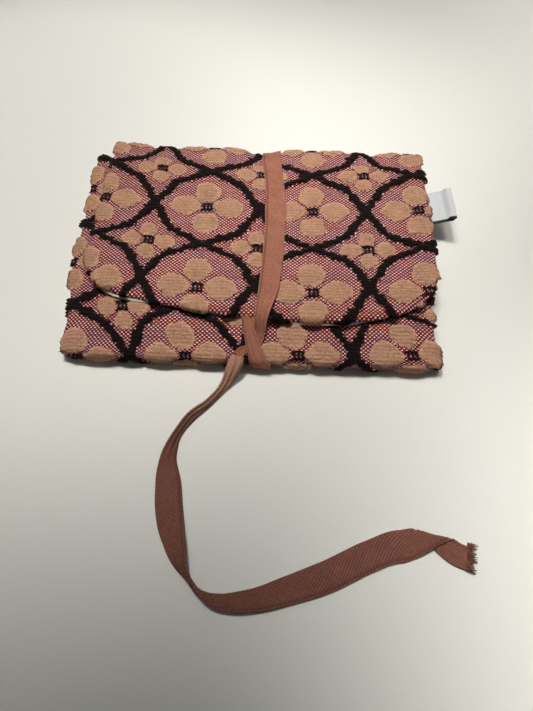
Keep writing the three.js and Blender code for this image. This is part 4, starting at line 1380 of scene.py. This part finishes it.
def make_label(settings):
    """A folded loop of satin whose free end leans up from the table."""
    material = satin_material(settings)
    node_low, node_high = low("side_label"), high("side_label")
    rise, reach = settings.rise * METRE, settings.reach * METRE
    seam_x = node_high[0] - reach - 0.5
    bottom = node_low[2] + LABEL_CLOTH / 2

    def section_at(y):
        share = (y - node_low[1]) / (node_high[1] - node_low[1])
        curl = 0.5 * (share - 0.5) ** 2
        start, bend, end = node_low[0] + 0.2, seam_x - 0.5, node_high[0] - 0.45
        out = np.linspace(bend, end, 14)
        lower = [(x, bottom) for x in np.linspace(start, bend, 5)[:-1]]
        lower += [(x, bottom + rise * smooth((x - bend) / (end - bend)) * 0.6
                   + rise * 0.4 * (x - bend) / (end - bend) + curl * (x - bend) / reach) for x in out]
        top_z = lower[-1][1]
        turn = np.radians(np.linspace(-60, 60, 5))
        half = LABEL_OPENING / 2
        nose = [(end + 0.3 * math.cos(a), top_z + half + half * math.sin(a)) for a in turn]
        upper = [(x, z + LABEL_OPENING) for x, z in reversed(lower)]
        return closed_section(lower + nose + upper, LABEL_CLOTH)

    piece = swept_cloth("side_label_satin", section_at, spaced(node_low[1], node_high[1], 0.6),
                        material, 1, node_low[1])
    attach(piece, "front")
    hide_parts("side_label")


# Stage

# Each lamp's place and the place on the table it is turned to, in metres, its cone in degrees, its
# power in watts and its size. Together they light the near left of the table least.
LAMPS = [
    ("lamp left", (-0.18, 0.26, 0.75), (-0.12, 0.06, 0), 16, 146, 0.22),
    ("lamp far right", (-0.04, 0.33, 0.75), (0.2, 0.25, 0), 44, 11.6, 0.25),
    ("lamp farthest right", (0.30, 0.33, 0.75), (0.2, 0.25, 0), 44, 11.6, 0.25),
    ("lamp right", (-0.05, 0.23, 0.75), (0.18, 0, 0), 18, 27.3, 0.2),
    ("lamp right from aside", (0.32, 0.20, 0.75), (0.2, 0.04, 0), 18, 27.3, 0.2),
    ("lamp near right", (-0.05, 0.13, 0.75), (0.2, -0.2, 0), 12, 71, 0.14),
    ("lamp near right from aside", (0.38, 0.10, 0.75), (0.2, -0.2, 0), 12, 71, 0.14),
]
LAMP_COLOUR = (1.0, 0.98, 0.94)
LAMP_BLEND = 0.85


def make_stage(settings):
    """Camera, pale table top, light from all round and lamps."""
    scene = bpy.context.scene
    camera = bpy.data.objects.new("camera", bpy.data.cameras.new("camera"))
    scene.collection.objects.link(camera)
    camera.location = settings.camera_place
    camera.rotation_euler = (math.radians(90) - settings.camera_pitch, 0, settings.camera_yaw)
    camera.data.lens = settings.camera_lens
    camera.data.sensor_width = 36
    camera.data.clip_start, camera.data.clip_end = 0.01, 20
    scene.camera = camera

    bm = bmesh.new()
    bmesh.ops.create_grid(bm, x_segments=8, y_segments=8, size=2.5)
    mesh = bpy.data.meshes.new("floor")
    bm.to_mesh(mesh)
    bm.free()
    mesh.materials.append(floor_material(settings.floor_colour))
    floor = bpy.data.objects.new("floor", mesh)
    floor.location.z = -0.0002
    scene.collection.objects.link(floor)

    world = bpy.data.worlds.new("soft room")
    world.use_nodes = True
    background = world.node_tree.nodes["Background"].inputs
    background["Color"].default_value = (*settings.room_colour, 1)
    background["Strength"].default_value = settings.room_strength
    scene.world = world
    for name, place, target, cone, power, size in LAMPS:
        add_lamp(name, place, np.subtract(target, place), cone, power * settings.lamp_power, size)
    scene.view_settings.view_transform = "Standard"


def add_lamp(name, place, way, cone, power, size):
    """A soft lamp above the table, turned a given way."""
    data = bpy.data.lights.new(name, "SPOT")
    data.spot_size, data.spot_blend = math.radians(cone), LAMP_BLEND
    data.shadow_soft_size, data.energy, data.color = size, power, LAMP_COLOUR
    lamp = bpy.data.objects.new(name, data)
    bpy.context.scene.collection.objects.link(lamp)
    lamp.location = place
    from_straight_down = math.acos(-way[2] / np.linalg.norm(way))
    lamp.rotation_euler = (from_straight_down, 0, math.atan2(way[1], way[0]) - math.pi / 2)


# Settings that a user would change

def length(name, description, default):
    return FloatProperty(name=name, description=description, default=default,
                         unit="LENGTH", subtype="DISTANCE")


def angle(name, description, degrees):
    return FloatProperty(name=name, description=description, default=math.radians(degrees),
                         unit="ROTATION", subtype="ANGLE")


def number(name, description, default):
    return FloatProperty(name=name, description=description, default=default)


def colour(name, description, default):
    return FloatVectorProperty(name=name, description=description, default=default, subtype="COLOR",
                               size=3, min=0, max=1)


class PouchClothSettings(bpy.types.PropertyGroup):
    pile: length("Pile", "How far the chenille stands above its ground weave", 0.0014)
    ground: length("Ground", "Thickness of the ground weave", 0.00065)
    dot_pitch: length("Dot pitch", "Distance across from one woven dot to the next", 0.00094)
    cream: colour("Cream thread", "Pale dots of the ground", (0.90, 0.62, 0.57))
    pink: colour("Pink thread", "Dots where the threads mix", (0.36, 0.07, 0.09))
    gold: colour("Gold thread", "Yellowish dots in some rows", (0.72, 0.42, 0.20))
    burgundy: colour("Burgundy thread", "Dark dots of the ground", (0.135, 0.0015, 0.006))
    purple: colour("Purple thread", "Dark dots in some rows", (0.075, 0.018, 0.052))
    lilac: colour("Lilac thread", "Duller light dots in the purple rows", (0.36, 0.26, 0.34))
    tan: colour("Tan pile", "Petals", (0.500, 0.275, 0.172))
    black: colour("Black pile", "Trellis lines and stitches", (0.0030, 0.0022, 0.0024))
    black_fibre: colour("Black fibre", "Light ends of the black pile", (0.017, 0.013, 0.013))


class PouchLiningSettings(bpy.types.PropertyGroup):
    lining: colour("Lining", "Cream cotton inside the pouch", (0.80, 0.74, 0.63))
    interlining: colour("Interlining", "Felt between cloth and lining", (0.82, 0.80, 0.75))


class PouchTapeSettings(bpy.types.PropertyGroup):
    width: length("Width", "Width of the folded tape", 0.010)
    thickness: length("Thickness", "Thickness of the folded tape", 0.0008)
    seam_inset: length("Seam inset", "From the tape's edge to its stitches", 0.0011)
    stitch_length: length("Stitch length", "From one stitch to the next", 0.0021)
    crumple: length("Crumple", "Height of the tape's soft creases", 0.00022)
    waviness: number("Waviness", "How uneven the tape's edges are, as a share", 0.05)
    thread: length("Thread", "Width of one thread of the tape", 0.0005)
    twill: length("Twill", "Distance between the weave's diagonal ridges", 0.00095)
    colour: colour("Tape", "Dusty pink brown of the tape", (0.330, 0.132, 0.084))
    # The free end's two colours are painted light near the knot and painted shade farther along, in place of
    # the tape's own colour
    tail_lit_colour: colour("Free end at the knot", "The free end where it leaves the knot", (0.44, 0.220, 0.155))
    tail_shade_colour: colour("Free end", "The free end is darker from handling", (0.195, 0.076, 0.054))
    seam_colour: colour("Seam thread", "Thread of the tape's seam", (0.16, 0.06, 0.045))


class PouchLabelSettings(bpy.types.PropertyGroup):
    rise: length("Rise", "How far the label leans up", 0.0037)
    reach: length("Reach", "How far the label stands out of the seam", 0.0106)
    rib: length("Rib", "Distance between the satin's ribs", 0.0005)
    # The border colour darkens a band along the label's near edge
    border: length("Border", "Width of the dark woven line at the near edge", 0.0012)
    colour: colour("Satin", "Lilac white satin", (0.56, 0.57, 0.60))
    border_colour: colour("Border line", "Dark woven line", (0.004, 0.004, 0.006))


class PouchStageSettings(bpy.types.PropertyGroup):
    camera_place: FloatVectorProperty(name="Camera place", description="Where the camera stands",
                                      default=(0.0137, -0.1743, 0.2003), subtype="TRANSLATION", unit="LENGTH")
    camera_pitch: angle("Camera pitch", "How far the camera looks down", 59.30)
    camera_yaw: angle("Camera yaw", "How far the camera turns to its left", 2.49)
    camera_lens: number("Camera lens", "Focal length in millimetres on a 36 mm sensor", 27.78)
    floor_colour: colour("Floor", "Pale plain table top", (0.72, 0.714, 0.672))
    room_colour: colour("Room", "Light that comes from all round", (1.0, 0.98, 0.94))
    room_strength: number("Room light", "Strength of the light all round", 0.1)
    lamp_power: number("Lamps", "Brightness of the lamps, as a share", 1.0)


# Operators

class POUCH_OT_stage(bpy.types.Operator):
    """Add the camera, the pale floor and the soft lights"""
    bl_idname = "pouch.stage"
    bl_label = "Stage"

    def execute(self, context):
        make_stage(context.scene.pouch_stage)
        return {"FINISHED"}


class POUCH_OT_tail(bpy.types.Operator):
    """Lay the tape's free end along the table, with its frayed threads"""
    bl_idname = "pouch.tail"
    bl_label = "Tape's free end"

    def execute(self, context):
        make_tail(context.scene.pouch_tape)
        return {"FINISHED"}


class POUCH_OT_tape(bpy.types.Operator):
    """Wind the tape round the closed pouch"""
    bl_idname = "pouch.tape"
    bl_label = "Tape round the pouch"

    def execute(self, context):
        make_tape(context.scene.pouch_tape)
        return {"FINISHED"}


class POUCH_OT_outer_cloth(bpy.types.Operator):
    """Make the patterned chenille of the back, the front and the flap"""
    bl_idname = "pouch.outer_cloth"
    bl_label = "Chenille cloth"

    def execute(self, context):
        make_outer_cloth(context.scene.pouch_cloth)
        return {"FINISHED"}


class POUCH_OT_lining(bpy.types.Operator):
    """Make the cream lining, the dividers and the pleated sides"""
    bl_idname = "pouch.lining"
    bl_label = "Lining and pleats"

    def execute(self, context):
        make_lining(context.scene.pouch_lining)
        return {"FINISHED"}


class POUCH_OT_interlining(bpy.types.Operator):
    """Make the felt between the cloth and the lining"""
    bl_idname = "pouch.interlining"
    bl_label = "Interlining"

    def execute(self, context):
        make_interlining(context.scene.pouch_lining)
        return {"FINISHED"}


class POUCH_OT_label(bpy.types.Operator):
    """Make the blank satin loop in the right seam"""
    bl_idname = "pouch.label"
    bl_label = "Side label"

    def execute(self, context):
        make_label(context.scene.pouch_label)
        return {"FINISHED"}


class POUCH_PT_panel(bpy.types.Panel):
    """Steps and settings of the pouch"""
    bl_idname = "POUCH_PT_panel"
    bl_label = "Accordion pouch"
    bl_space_type = "VIEW_3D"
    bl_region_type = "UI"
    bl_category = "Pouch"

    def draw(self, context):
        for operator in OPERATORS:
            self.layout.operator(operator.bl_idname)
        for name, settings in SETTINGS.items():
            box = self.layout.box()
            box.label(text=name.replace("pouch_", "").title())
            for prop in settings.__annotations__:
                box.prop(getattr(context.scene, name), prop)


SETTINGS = {
    "pouch_stage": PouchStageSettings,
    "pouch_tape": PouchTapeSettings,
    "pouch_cloth": PouchClothSettings,
    "pouch_lining": PouchLiningSettings,
    "pouch_label": PouchLabelSettings,
}
OPERATORS = [POUCH_OT_stage, POUCH_OT_tail, POUCH_OT_tape, POUCH_OT_outer_cloth,
             POUCH_OT_lining, POUCH_OT_interlining, POUCH_OT_label]


def register():
    for settings in SETTINGS.values():
        bpy.utils.register_class(settings)
    for name, settings in SETTINGS.items():
        setattr(bpy.types.Scene, name, PointerProperty(type=settings))
    for operator in OPERATORS:
        bpy.utils.register_class(operator)
    bpy.utils.register_class(POUCH_PT_panel)


def unregister():
    bpy.utils.unregister_class(POUCH_PT_panel)
    for operator in reversed(OPERATORS):
        bpy.utils.unregister_class(operator)
    for name, settings in SETTINGS.items():
        delattr(bpy.types.Scene, name)
        bpy.utils.unregister_class(settings)


def main():
    register()
    bpy.ops.pouch.stage()
    bpy.ops.pouch.tail()
    bpy.ops.pouch.tape()
    bpy.ops.pouch.outer_cloth()
    bpy.ops.pouch.lining()
    bpy.ops.pouch.interlining()
    bpy.ops.pouch.label()


if __name__ == "__main__":
    main()
